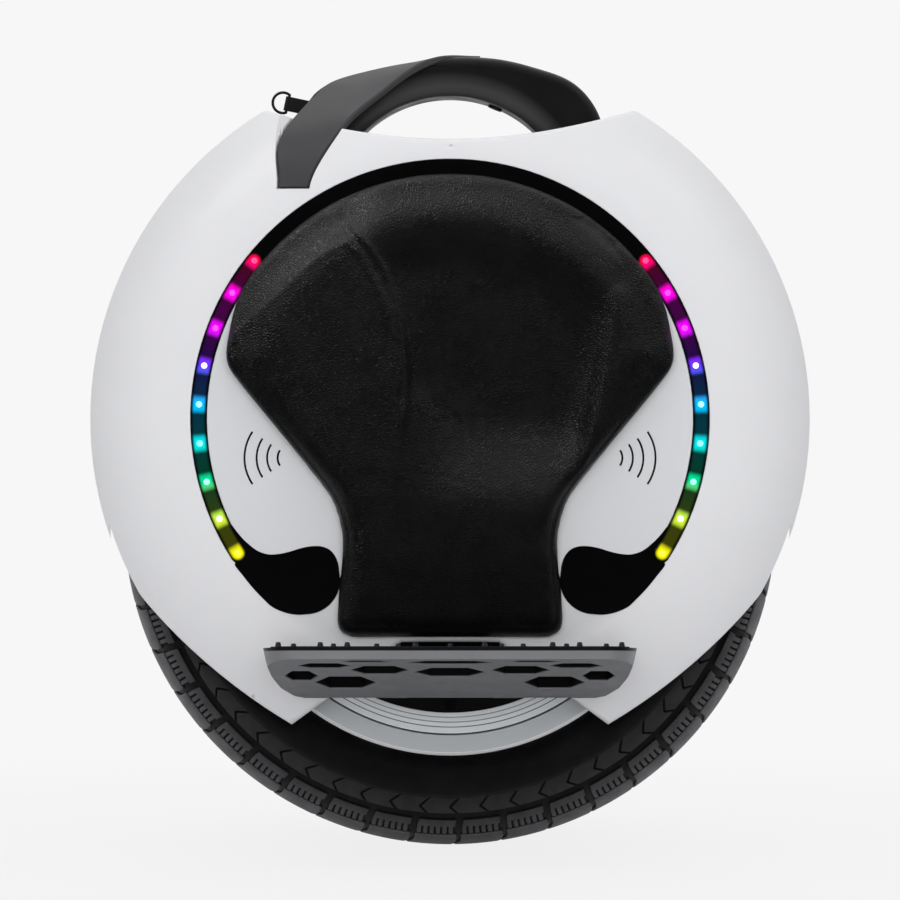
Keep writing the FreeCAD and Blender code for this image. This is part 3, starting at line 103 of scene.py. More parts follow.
class Graph:
    """A node tree that is filled step by step."""

    def __init__(self, tree: bpy.types.NodeTree) -> None:
        """Keep the tree and empty it."""
        self.tree = tree
        self.tree.nodes.clear()
        self.shader: bpy.types.Node | None = None

    def feed(self, inputs: dict, node: bpy.types.Node | None = None) -> None:
        """Feed the sockets of a node.

        Args:
            inputs: Socket name or number to a value, or to the socket that feeds it.
            node: The node, or none for the tree's shader.
        """
        if node is None:
            node = self.shader
        for key, value in inputs.items():
            if isinstance(value, Socket):
                self.tree.links.new(value, node.inputs[key])
            else:
                node.inputs[key].default_value = value

    def add(self, kind: str, inputs: dict | None = None, **settings: object) -> bpy.types.Node:
        """Add a node, set its options and feed its sockets.

        Args:
            kind: Blender's name of the node type, without its first two words.
            inputs: Socket name or number to a value, or to the socket that feeds it.
            **settings: The node's own options.

        Returns:
            The new node.
        """
        node = self.tree.nodes.new(f"ShaderNode{kind}")
        for name, value in settings.items():
            setattr(node, name, value)
        self.feed(inputs or {}, node)
        return node

    def math(self, operation: str, first: Feed, second: Feed = 0.0, third: Feed = 0.0) -> Socket:
        """Return the result of a math node on up to three sockets or numbers."""
        return self.add("Math", {0: first, 1: second, 2: third}, operation=operation).outputs[0]

    def weigh(self, first: Feed, by: Feed, second: Feed, times: Feed) -> Socket:
        """Return first multiplied by its weight, plus second multiplied by its own."""
        return self.math("MULTIPLY_ADD", first, by, self.math("MULTIPLY", second, times))

    def hypot(self, first: Socket, second: Socket) -> Socket:
        """Return the length of two sides at a right angle."""
        return self.math("SQRT", self.weigh(first, first, second, second))

    def span(self, value: Socket, low: float, high: float, start: float, end: float) -> Socket:
        """Return a value mapped smoothly from low and high to start and end."""
        feeds = {"Value": value, "From Min": low, "From Max": high, "To Min": start, "To Max": end}
        return self.add("MapRange", feeds, interpolation_type="SMOOTHSTEP").outputs["Result"]

    def ramp(self, value: Socket, stops: Bands, kind: str = "LINEAR") -> Socket:
        """Return a colour that a ramp gives for a value.

        Args:
            value: The socket that chooses the place on the ramp.
            stops: Places from 0 to 1 and their colours, in order.
            kind: Blender's name of the blending between stops.

        Returns:
            The colour socket.
        """
        node = self.add("ValToRGB", {"Fac": value})
        node.color_ramp.interpolation = kind
        elements = node.color_ramp.elements
        while len(elements) < len(stops):
            elements.new(1.0)
        for element, (place, colour) in zip(elements, stops):
            element.position = place
            element.color = (*colour, 1.0)
        return node.outputs["Color"]

    def bands(self, value: Socket, edges: Bands, reach: float, kind: str = "LINEAR") -> Socket:
        """Return a colour that changes at a distance's edges, as far as its reach."""
        stops = tuple((edge / reach, colour) for edge, colour in edges)
        return self.ramp(self.math("DIVIDE", value, reach), stops, kind)

    def dimmed(self, colour: Socket, share: Socket) -> Socket:
        """Return a colour multiplied by a share."""
        return self.add("VectorMath", {0: colour, "Scale": share}, operation="SCALE").outputs[0]

    def place(self) -> Socket:
        """Return the surface point in object coordinates."""
        return self.add("TexCoord").outputs["Object"]

    def axes(self) -> list[Socket]:
        """Return x, y and z of the surface point."""
        return list(self.add("SeparateXYZ", {0: self.place()}).outputs)

    def noise(self, scale: float, detail: float = 4.0) -> Socket:
        """Return noise of so many cells in a metre, from 0 to 1."""
        feeds = {"Vector": self.place(), "Scale": scale, "Detail": detail}
        return self.add("TexNoise", feeds).outputs["Fac"]

    def drift(self, scale: float, start: float, end: float) -> Socket:
        """Return noise that drifts smoothly between start and end."""
        return self.span(self.noise(scale), NOISE_LOW, NOISE_HIGH, start, end)

    def radius(self, centre: Sequence[float]) -> Socket:
        """Return a point's distance from a line along y through a centre."""
        shifted = self.add("VectorMath", {0: self.place(), 1: tuple(centre)}, operation="SUBTRACT")
        flat = self.add("VectorMath", {0: shifted.outputs[0], 1: (1.0, 0.0, 1.0)},
                        operation="MULTIPLY")
        return self.add("VectorMath", {0: flat.outputs[0]}, operation="LENGTH").outputs["Value"]


@dataclass(frozen=True)
class Finish:
    """A surface with fine grain, drifting colour and drifting gloss."""

    name: str
    colour: Colour
    roughness: float = 0.5
    metallic: float = 0.0
    specular: float = 0.5
    coat: float = 0.0
    drift: float = 0.12
    gloss_drift: float = 0.08
    grain: float = 1100.0
    relief: float = 0.00004

    def material(self) -> bpy.types.Material:
        """Build the finish's material once, and return it."""
        known = bpy.data.materials.get(self.name)
        if known is not None:
            return known
        made = bpy.data.materials.new(self.name)
        made.use_nodes = True
        graph = Graph(made.node_tree)
        graph.shader = graph.add("BsdfPrincipled", {
            "Metallic": self.metallic, "Specular IOR Level": self.specular,
            "Coat Weight": self.coat})
        self.dress(graph)
        graph.add("OutputMaterial", {"Surface": graph.shader.outputs[0]})
        made.diffuse_color = (*self.colour, 1.0)
        return made

    def dress(self, graph: Graph) -> None:
        """Feed the shader's colour, gloss and relief."""
        graph.feed({"Base Color": self.tone(graph), "Roughness": self.gloss(graph),
                    "Normal": self.bumps(graph, self.fine(graph))})

    def fine(self, graph: Graph) -> Socket:
        """Return the finish's fine grain, from 0 to 1."""
        return graph.noise(self.grain, FINE_DETAIL)

    def tone(self, graph: Graph) -> Socket:
        """Return the colour, drifting a little darker and lighter."""
        low = tuple(c * (1 - self.drift) for c in self.colour)
        high = tuple(min(1.0, c * (1 + self.drift)) for c in self.colour)
        return graph.ramp(graph.noise(TONE_SCALE), ((NOISE_LOW, low), (NOISE_HIGH, high)))

    def gloss(self, graph: Graph) -> Socket:
        """Return a roughness that drifts about the finish's own."""
        low, high = self.roughness - self.gloss_drift, self.roughness + self.gloss_drift
        return graph.drift(GLOSS_SCALE, max(low, LEAST_ROUGHNESS), min(high, 1.0))

    def bumps(self, graph: Graph, height: Socket) -> Socket:
        """Return a normal that a height from 0 to 1 bends."""
        return graph.add("Bump", {"Height": height, "Distance": self.relief}).outputs["Normal"]


@dataclass(frozen=True)
class PaintedLightBands(Finish):
    """A moulding with painted light and shade: its tone changes softly with the distance from a
    line along y.
    """

    centre: Point3 = (0.0, 0.0, 0.0)
    bands: Bands = ()
    reach: float = 0.25

    def dress(self, graph: Graph) -> None:
        """Feed the banded tone of painted light and shade, gloss and relief.

        Args:
            graph: The material's tree.
        """
        super().dress(graph)
        # Painted light and shade: the tone changes with the distance from the centre line.
        tone = graph.bands(graph.radius(self.centre), self.bands, self.reach)
        drift = graph.drift(TONE_SCALE, 1 - self.drift, 1 + self.drift)
        graph.feed({"Base Color": graph.dimmed(tone, drift)})


@dataclass(frozen=True)
class Leather(Finish):
    """A moulded skin with pebbled grain cells and fine creases between them."""

    pebble: float = 620.0
    dome: float = 0.28
    crumple: float = 0.35
    valley_shade: float = 0.6
    crest: float = 0.55

    def dress(self, graph: Graph) -> None:
        """Feed pebbled grain, with painted shade in its valleys.

        Args:
            graph: The material's tree.
        """
        feeds = {"Vector": graph.place(), "Scale": self.pebble, "Randomness": 1.0}
        cells = graph.add("TexVoronoi", feeds, feature="DISTANCE_TO_EDGE").outputs["Distance"]
        domed = graph.span(cells, 0.0, self.dome, 0.0, 1.0)
        height = graph.math("MULTIPLY_ADD", self.fine(graph), self.crumple, domed)
        # Painted shade: the grain's valleys are darkened.
        dark = tuple(c * self.valley_shade for c in self.colour)
        graph.feed({"Base Color": graph.ramp(domed, ((0.0, dark), (self.crest, self.colour))),
                    "Roughness": self.gloss(graph), "Normal": self.bumps(graph, height)})


@dataclass(frozen=True)
class Turned(Finish):
    """A turned metal piece whose colour and gloss change by radius about the axle."""

    bands: Bands = ()
    shine: Line = ()
    reach: float = 0.16
    pitch: float = 0.0006
    mark: float = 0.15

    def dress(self, graph: Graph) -> None:
        """Feed colour and gloss bands by radius, with turning marks.

        Args:
            graph: The material's tree.
        """
        radius = graph.radius(AXLE)
        greys = tuple((edge, (rough,) * 3) for edge, rough in self.shine)
        gloss = graph.bands(radius, greys, self.reach, "CONSTANT")
        level = graph.add("SeparateColor", {"Color": gloss}).outputs[0]
        drift = graph.drift(GLOSS_SCALE, -self.gloss_drift, self.gloss_drift)
        marks = graph.math("SINE", graph.math("MULTIPLY", radius, 2 * math.pi / self.pitch))
        height = graph.math("MULTIPLY_ADD", marks, self.mark, self.fine(graph))
        graph.feed({"Base Color": graph.bands(radius, self.bands, self.reach, "CONSTANT"),
                    "Roughness": graph.math("ADD", level, drift),
                    "Normal": self.bumps(graph, height)})


@dataclass(frozen=True)
class Rubber(Finish):
    """Tyre rubber: a dark wall, grooves darkened by painted shade, and blocks painted paler
    towards the crown as painted light and sheen.
    """

    bands: Bands = ()
    reach: float = 0.22
    sunk: Point2 = (0.8, 0.3)
    groove_painted_shade: float = 0.12
    scuff_scale: float = 140.0
    scuff_noise: Point2 = (0.25, 0.75)
    scuff_tones: Point2 = (0.8, 1.1)

    def dress(self, graph: Graph) -> None:
        """Feed matt rubber with scuffed block tops, painted shade in the grooves and painted light
        towards the crown.

        Args:
            graph: The material's tree.
        """
        super().dress(graph)
        radius = graph.radius(AXLE)
        section = graph.hypot(graph.math("SUBTRACT", radius, TYRE_RING), graph.axes()[1])
        low, high = (TYRE_TUBE - share * TYRE_GROOVE for share in self.sunk)
        # Painted shade: the grooves are darkened.
        top = graph.span(section, low, high, self.groove_painted_shade, 1.0)
        scuff = graph.span(graph.noise(self.scuff_scale), *self.scuff_noise, *self.scuff_tones)
        # Painted light and sheen: the colour grows paler towards the crown.
        plain = graph.bands(radius, self.bands, self.reach)
        graph.feed({"Base Color": graph.dimmed(plain, graph.math("MULTIPLY", top, scuff))})


@dataclass(frozen=True)
class LitLens(Finish):
    """A black lens with a strip of coloured light glowing through it on each side."""

    hues: tuple[Colour, ...] = ()
    half: float = 0.0042
    soft_edge: Point2 = (0.6, 1.12)
    cap: float = math.radians(2.1)
    beat: Point2 = (-0.15, 0.95)
    between: float = 0.05
    strength: float = 1.1

    def dress(self, graph: Graph) -> None:
        """Feed black gloss and the strip's light.

        Args:
            graph: The material's tree.
        """
        super().dress(graph)
        x, _, z = graph.axes()
        turn = graph.math("ARCTAN2", graph.math("ABSOLUTE", x),
                          graph.math("SUBTRACT", z, HOUSING.z))
        from_first = graph.math("SUBTRACT", turn, LIGHT_FIRST)
        beat = graph.math("COSINE", graph.math("MULTIPLY", from_first, 2 * math.pi / LIGHT_STEP))
        pulse = graph.span(beat, *self.beat, self.between, 1.0)
        arc = LIGHT_STEP * (len(self.hues) - 1)
        past = graph.math("MAXIMUM", graph.math("SUBTRACT", LIGHT_FIRST, turn),
                          graph.math("SUBTRACT", from_first, arc))
        along = graph.math("MULTIPLY", graph.math("MAXIMUM", past, 0.0), LIGHT_RADIUS)
        across = graph.math("SUBTRACT", graph.radius(HOUSING), LIGHT_RADIUS)
        full, none = (self.half * share for share in self.soft_edge)
        body = graph.span(graph.hypot(across, along), full, none, 1.0, 0.0)
        power = graph.math("MULTIPLY", pulse, body)
        stops = tuple((self.cap + LIGHT_STEP * k, hue) for k, hue in enumerate(self.hues))
        graph.feed({"Emission Color": graph.bands(graph.math("ADD", from_first, self.cap), stops,
                                                  arc + 2 * self.cap),
                    "Emission Strength": graph.math("MULTIPLY", power, self.strength)})


@dataclass(frozen=True)
class PedalCast(Finish):
    """A cast pedal: black in its pockets as painted shade, black along the sheet's turned edge,
    alloy elsewhere.
    """

    lip: Point2 = (0.092, 0.0015)
    keel: Point2 = (0.0105, -0.0199)
    depth: Point2 = (0.0003, 0.0010)
    under: Point2 = (0.0008, 0.0002)
    behind: Point2 = (0.0012, 0.0006)
    edge: float = 0.0066
    edge_blur: float = 0.0001
    ends: Point2 = (0.0975, 0.0985)
    # The black of the turned edge, also used as painted shade in the pockets.
    dark: Colour = (0.003, 0.003, 0.003)

    def dress(self, graph: Graph) -> None:
        """Feed the cast grain, the painted shade in the pockets and the black turned edge.

        Args:
            graph: The material's tree.
        """
        super().dress(graph)
        x, y, z = graph.axes()
        out = graph.math("SUBTRACT", graph.math("ABSOLUTE", y), PEDAL_HINGE[0])
        up = graph.math("SUBTRACT", z, PEDAL_HINGE[1])
        cos, sin = math.cos(PEDAL_TILT), math.sin(PEDAL_TILT)
        reach = graph.weigh(out, cos, up, sin)
        rise = graph.weigh(out, -sin, up, cos)
        past, above = (graph.math("SUBTRACT", way, at) for way, at in zip((reach, rise), self.lip))
        run, fall = self.lip[0] - self.keel[0], self.lip[1] - self.keel[1]
        length = math.hypot(run, fall)
        # Painted shade: the pockets under the lip are darkened.
        pocket_shade = graph.span(graph.weigh(past, -fall / length, above, run / length),
                            *self.depth, 0.0, 1.0)
        for way, (far, near) in ((above, self.under), (past, self.behind)):
            pocket_shade = graph.math("MULTIPLY", pocket_shade, graph.span(way, -far, -near, 1.0, 0.0))
        pocket_shade = graph.math("MULTIPLY", pocket_shade,
                            graph.span(graph.math("ABSOLUTE", x), *self.ends, 1.0, 0.0))
        trim = graph.span(rise, self.edge - self.edge_blur, self.edge + self.edge_blur, 0.0, 1.0)
        mixed = graph.add("Mix", {"Factor": graph.math("MAXIMUM", pocket_shade, trim),
                                  6: self.tone(graph), 7: (*self.dark, 1.0)}, data_type="RGBA")
        graph.feed({"Base Color": mixed.outputs[2]})


@dataclass(frozen=True)
class Glow(Finish):
    """A light core with a faint shimmer in its colour."""

    strength: float = 1.25
    bleach: float = 0.12

    def dress(self, graph: Graph) -> None:
        """Feed the glow and a faint grain.

        Args:
            graph: The material's tree.
        """
        super().dress(graph)
        pale = tuple(min(1.0, self.bleach + (1 - self.bleach) * c) for c in self.colour)
        shimmer = graph.ramp(self.fine(graph), ((NOISE_LOW, self.colour), (NOISE_HIGH, pale)))
        graph.feed({"Emission Color": shimmer, "Emission Strength": self.strength})


@dataclass(frozen=True)
class Clear(Finish):
    """A tinted see-through plastic."""

    clear: float = 0.7

    def dress(self, graph: Graph) -> None:
        """Feed tint, grain and transmission."""
        super().dress(graph)
        graph.feed({"Transmission Weight": self.clear})


class Paint:
    """All finishes of the machine, and the nodes that wear them."""

    # The pad's grain valleys are darkened as painted shade.
    pad = Leather("black_pad_skin", tint(6, 6, 7), 0.36, specular=0.42, relief=0.00015,
                  grain=2600.0)
    lens = LitLens("black_ring_lens", tint(5, 5, 6), 0.12, specular=0.3, gloss_drift=0.03,
                   relief=0.000005,
                   hues=(tint(255, 0, 70), tint(255, 0, 225), tint(235, 0, 255),
                         tint(95, 50, 255), tint(0, 185, 255), tint(0, 225, 225),
                         tint(0, 215, 130), tint(200, 235, 60), tint(245, 235, 0)))
    # The tyre grows paler towards the crown as painted light and sheen, and its grooves get
    # painted shade.
    rubber = Rubber("black_tyre_rubber", tint(33, 33, 34), 0.6, specular=0.35, grain=1600.0,
                    relief=0.00006,
                    bands=((0.1500, tint(15, 15, 16)), (0.1735, tint(15, 15, 16)),
                           (0.1750, tint(36, 36, 37)), (0.1880, tint(48, 48, 49)),
                           (0.2000, tint(84, 84, 86)), (0.2068, tint(112, 112, 114))))
    # The pedal's pockets are darkened as painted shade.
    pedal = PedalCast("satin_pedal_alloy", tint(128, 129, 132), 0.45, 0.2, grain=2400.0,
                      relief=0.00004, drift=0.06)

    worn: dict[Finish, str] = {
        pad: "*_leg_pad",
        lens: "*_light_ring",
        rubber: "tyre",
        pedal: "*_pedal",
        # The shell is painted darker inside the light ring: painted shade round the pad.
        PaintedLightBands("white_shell_gloss", tint(234, 234, 236), 0.5, specular=0.2, drift=0.006,
               relief=0.000004, grain=600.0, coat=0.08, gloss_drift=0.04, centre=tuple(HOUSING),
               bands=((0.150, tint(222, 223, 225)), (0.160, tint(234, 234, 236)))): "*_shell",
        # The handle is painted lighter along the inner edge of its arch: painted light on the
        # arch's lower edge.
        PaintedLightBands("black_handle_grip", tint(13, 13, 14), 0.46, specular=0.25, grain=1500.0,
               relief=0.00005, drift=0.05, centre=(0.0, 0.0, 0.3992), reach=0.12,
               bands=((0.0750, tint(66, 66, 67)), (0.0800, tint(58, 58, 59)),
                      (0.0895, tint(12, 12, 13)))): "carry_handle",
        # The rim's outer edge is painted white: a painted highlight line.
        Turned("blasted_rim_alloy", tint(202, 206, 209), 0.45, 0.1, relief=0.00002, grain=2200.0,
               gloss_drift=0.03, shine=((0.0, 0.5), (0.1464, 0.4)),
               bands=((0.0, tint(202, 206, 209)), (0.1464, tint(254, 254, 254)))): "rim",
        Turned("stepped_motor_cover", tint(26, 26, 27), 0.4, 0.1, relief=0.00002, grain=2200.0,
               gloss_drift=0.03, shine=((0.0, 0.45), (0.1218, 0.36), (0.1344, 0.5)),
               bands=((0.0, tint(9, 9, 10)), (0.1218, tint(243, 246, 248)),
                      (0.1243, tint(150, 153, 156)), (0.1248, tint(236, 239, 242)),
                      (0.1272, tint(140, 143, 146)), (0.1277, tint(243, 246, 248)),
                      (0.1302, tint(90, 92, 94)), (0.1307, tint(240, 243, 246)),
                      (0.1344, tint(30, 30, 32)))): "*_motor_cover",
        Finish("black_handle_mould", tint(13, 13, 14), 0.42, specular=0.35, grain=1500.0,
               relief=0.00005): "tether_tab power_switch power_button",
        Finish("grey_trolley_grip", tint(62, 62, 64), 0.55, specular=0.25, grain=1500.0,
               relief=0.00003, drift=0.03, gloss_drift=0.02): "trolley_grip",
        Finish("black_arch_mould", tint(14, 14, 15), 0.5, specular=0.35, grain=1300.0,
               relief=0.00006): "wheel_arch body_strip *_hanger trolley_sleeve",
        Finish("black_speaker_cone", tint(14, 14, 15), 0.7, grain=900.0,
               relief=0.00008): "speakers",
        Finish("black_tube_rubber", tint(30, 30, 31), 0.55): "inner_tube",
        Finish("zinc_steel", tint(176, 178, 182), 0.32, 1.0, grain=1800.0, relief=0.00002):
            "axle *_bearing *_axle_nut valve_stem *_hinge_pin rotor_ring",
        Finish("blackened_steel", tint(54, 54, 56), 0.4, 0.9, grain=1800.0, relief=0.00003):
            "*_pedal_studs tether_ring",
        Finish("nickel_magnets", tint(168, 166, 160), 0.3, 1.0): "rotor_magnets",
        Finish("stacked_laminations", tint(104, 108, 116), 0.45, 0.9, grain=3000.0): "stator_core",
        Finish("lacquered_copper", tint(196, 110, 62), 0.3, 0.9, coat=0.4): "stator_windings",
        Finish("green_board", tint(22, 84, 52), 0.5, coat=0.3): "*_led_board light_boards",
        Finish("blue_pack_wrap", tint(34, 70, 128), 0.35, coat=0.3): "*_battery",
        Finish("grey_controller_case", tint(58, 60, 63), 0.5): "controller",
        Finish("finned_sink_alloy", tint(160, 162, 165), 0.42, 0.9): "heat_sink",
        Clear("clear_head_lens", tint(226, 232, 238), 0.08, gloss_drift=0.03): "head_light_lens",
        Clear("red_tail_lens", tint(188, 14, 20), 0.1, gloss_drift=0.03,
              clear=0.45): "tail_light_lens",
        Finish("satin_tube_alloy", tint(150, 152, 156), 0.34, 0.95, relief=0.00002):
            "trolley_middle trolley_rod",
        Finish("black_grit_sheet", tint(24, 24, 25), 0.9, grain=1300.0, relief=0.0004,
               drift=0.4): "*_pedal_mat",
        Finish("black_cap_rubber", tint(27, 27, 28), 0.65, relief=0.00006):
            "charge_cap charge_socket lift_button",
        Finish("black_screw", tint(30, 30, 32), 0.35, 0.8):
            "cover_screws body_screws hanger_screws",
        Finish("led_phosphor", tint(236, 226, 150), 0.3): "*_leds",
    }

    @classmethod
    def dress_nodes(cls) -> None:
        """Give every solid of the frame its finish."""
        count = 0
        for finish, names in cls.worn.items():
            nodes = dict.fromkeys(side.named(name) for name in names.split() for side in Side)
            for name in nodes:
                Bench.wear(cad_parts[name], finish)
            count += len(nodes)
        LOG.info("finishes on %d nodes", count)


class Bench:
    """Hand tools for modelling: picking, edit mode, modifiers, copies and finishing."""

    @staticmethod
    def pick(*objects: Piece) -> None:
        """Select only these objects, the first of them active.

        Args:
            *objects: The objects to select.
        """
        if bpy.context.object is not None and bpy.context.object.mode != "OBJECT":
            bpy.ops.object.mode_set(mode="OBJECT")
        bpy.ops.object.select_all(action="DESELECT")
        for item in objects:
            item.select_set(True)
        if objects:
            bpy.context.view_layer.objects.active = objects[0]

    @classmethod
    def edit(cls, item: Piece, *steps: Callable[[], object]) -> None:
        """Run edit-mode steps on the whole of one object.

        Args:
            item: The object to edit.
            *steps: Calls that run in edit mode, in order.
        """
        cls.pick(item)
        bpy.ops.object.mode_set(mode="EDIT")
        bpy.ops.mesh.select_all(action="SELECT")
        for step in steps:
            step()
        bpy.ops.object.mode_set(mode="OBJECT")

    @staticmethod
    def turn_out() -> None:
        """Turn every face of the edited mesh outwards."""
        bpy.ops.mesh.select_all(action="SELECT")
        bpy.ops.mesh.normals_make_consistent(inside=False)

    @staticmethod
    def weld(threshold: float = WELD) -> None:
        """Merge the doubled corners of the edited mesh."""
        bpy.ops.mesh.select_all(action="SELECT")
        bpy.ops.mesh.remove_doubles(threshold=threshold)

    @staticmethod
    def raise_face(height: float) -> None:
        """Extrude the picked face of the edited mesh to the right side."""
        bpy.ops.mesh.extrude_region_move(TRANSFORM_OT_translate={"value": (0.0, -height, 0.0)})

    @classmethod
    def modify(cls, item: Piece, kind: str, **settings: object) -> None:
        """Add a modifier and apply it.

        Args:
            item: The object to change.
            kind: Blender's name of the modifier type.
            **settings: The modifier's options.
        """
        cls.pick(item)
        modifier = item.modifiers.new(kind.lower(), kind)
        for name, value in settings.items():
            setattr(modifier, name, value)
        bpy.ops.object.modifier_apply(modifier=modifier.name)

    @classmethod
    def bevel(cls, item: Piece, width: float, segments: int, angle: float = 0.9) -> None:
        """Round the edges of an object that are sharper than an angle in radians."""
        cls.modify(item, "BEVEL", width=width, segments=segments, limit_method="ANGLE",
                   angle_limit=angle)

    @staticmethod
    def points(item: Piece) -> np.ndarray:
        """Return the vertices of an object as rows of x, y and z."""
        rows = np.empty(len(item.data.vertices) * 3)
        item.data.vertices.foreach_get("co", rows)
        return rows.reshape(-1, 3)

    @staticmethod
    def move(item: Piece, rows: np.ndarray) -> None:
        """Put the vertices of an object at new rows of x, y and z."""
        item.data.vertices.foreach_set("co", rows.astype(np.float32).ravel())
        item.data.update()

    @staticmethod
    def copy(item: Piece, name: str, change: Matrix | None = None) -> Piece:
        """Copy an object with its own mesh.

        Args:
            item: The object to copy.
            name: The copy's name.
            change: What moves the copy's mesh, if anything does.

        Returns:
            The copy, at the origin.
        """
        twin = bpy.data.objects.new(name, item.data.copy())
        twin.data.name = name
        bpy.context.scene.collection.objects.link(twin)
        if change is not None:
            twin.data.transform(change)
            if change.determinant() < 0:
                twin.data.flip_normals()
        return twin

    @classmethod
    def join(cls, items: Sequence[Piece], name: str) -> Piece:
        """Join objects into the first of them.

        Args:
            items: The objects to join.
            name: The name of the result.

        Returns:
            The joined object.
        """
        cls.pick(*items)
        if len(items) > 1:
            bpy.ops.object.join()
        whole = bpy.context.view_layer.objects.active
        whole.name = name
        whole.data.name = name
        return whole

    @staticmethod
    def wear(item: Piece, finish: Finish) -> None:
        """Give an object one finish."""
        item.data.materials.clear()
        item.data.materials.append(finish.material())

    @classmethod
    def done(cls, item: Piece, finish: Finish | None, body: str, slot: str, angle: float) -> None:
        """Settle a finished piece: its place, shading, finish and body.

        Args:
            item: The piece.
            finish: Its finish, or none where it already wears one.
            body: The body it rides on.
            slot: The record's material slot it belongs to; it is not used.
            angle: Edges flatter than this many degrees are shaded smooth.
        """
        cls.pick(item)
        bpy.ops.object.transform_apply(location=True, rotation=True, scale=True)
        bpy.ops.object.shade_smooth_by_angle(angle=math.radians(angle))
        if finish is not None:
            cls.wear(item, finish)
        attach(item, body)
        LOG.info("%s: %d faces on %s", item.name, len(item.data.polygons), body)

    @classmethod
    def pair(cls, right: Piece, finish: Finish | None, body: str, slot: str, angle: float,
             node: str = "") -> tuple[Piece, Piece]:
        """Mirror a right-hand piece to the left side, and settle both.

        Args:
            right: The right-hand piece.
            finish: Their finish, or none where they already wear one.
            body: The body they ride on, with a star for the side.
            slot: The record's material slot they belong to.
            angle: Edges flatter than this many degrees are shaded smooth.
            node: The node they stand for, with a star for the side, if there is one.

        Returns:
            The right and the left piece.
        """
        both = right, cls.copy(right, right.name.replace("right", "left"), MIRROR)
        for side, item in zip(Side, both):
            cls.done(item, finish, side.named(body), slot, angle)
            if node:
                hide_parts(side.named(node))
        return both


@dataclass(frozen=True)
class Crease:
    """A fold of the pad, drawn as an open line of x and z."""

    corners: Line
    height: float = 0.0
    width: float = 0.002
    ends: Point2 = (0.0, 1.2)
    run_on: float = 9.0

    def aside(self, x: np.ndarray, z: np.ndarray) -> tuple[np.ndarray, np.ndarray]:
        """Measure points against the line, whose end pieces run on.

        Args:
            x: The points' x.
            z: The points' z.

        Returns:
            The distance to the line, positive to its left, and how far inside its ends it is.
        """
        best = np.full(x.shape, np.inf)
        signed, inside = np.zeros(x.shape), np.zeros(x.shape)
        total = len(self.corners) - 1
        for index, ((ax, az), (bx, bz)) in enumerate(zip(self.corners, self.corners[1:])):
            dx, dz = bx - ax, bz - az
            share = ((x - ax) * dx + (z - az) * dz) / (dx * dx + dz * dz)
            along = np.clip(share, -self.run_on if index == 0 else 0.0,
                            self.run_on if index == total - 1 else 1.0)
            gap = np.hypot(x - ax - along * dx, z - az - along * dz)
            left = np.sign(dx * (z - az) - dz * (x - ax))
            nearer = gap < best
            best = np.where(nearer, gap, best)
            signed = np.where(nearer, gap * left, signed)
            within = np.minimum(index + along, total - index - along)
            inside = np.where(nearer, within, inside)
        return signed, inside

    def ridge(self, x: np.ndarray, z: np.ndarray) -> np.ndarray:
        """Return the height of the fold at points of x and z."""
        gap, inside = self.aside(x, z)
        return self.height * np.exp(-(gap / self.width) ** 2) * ease(inside, *self.ends)


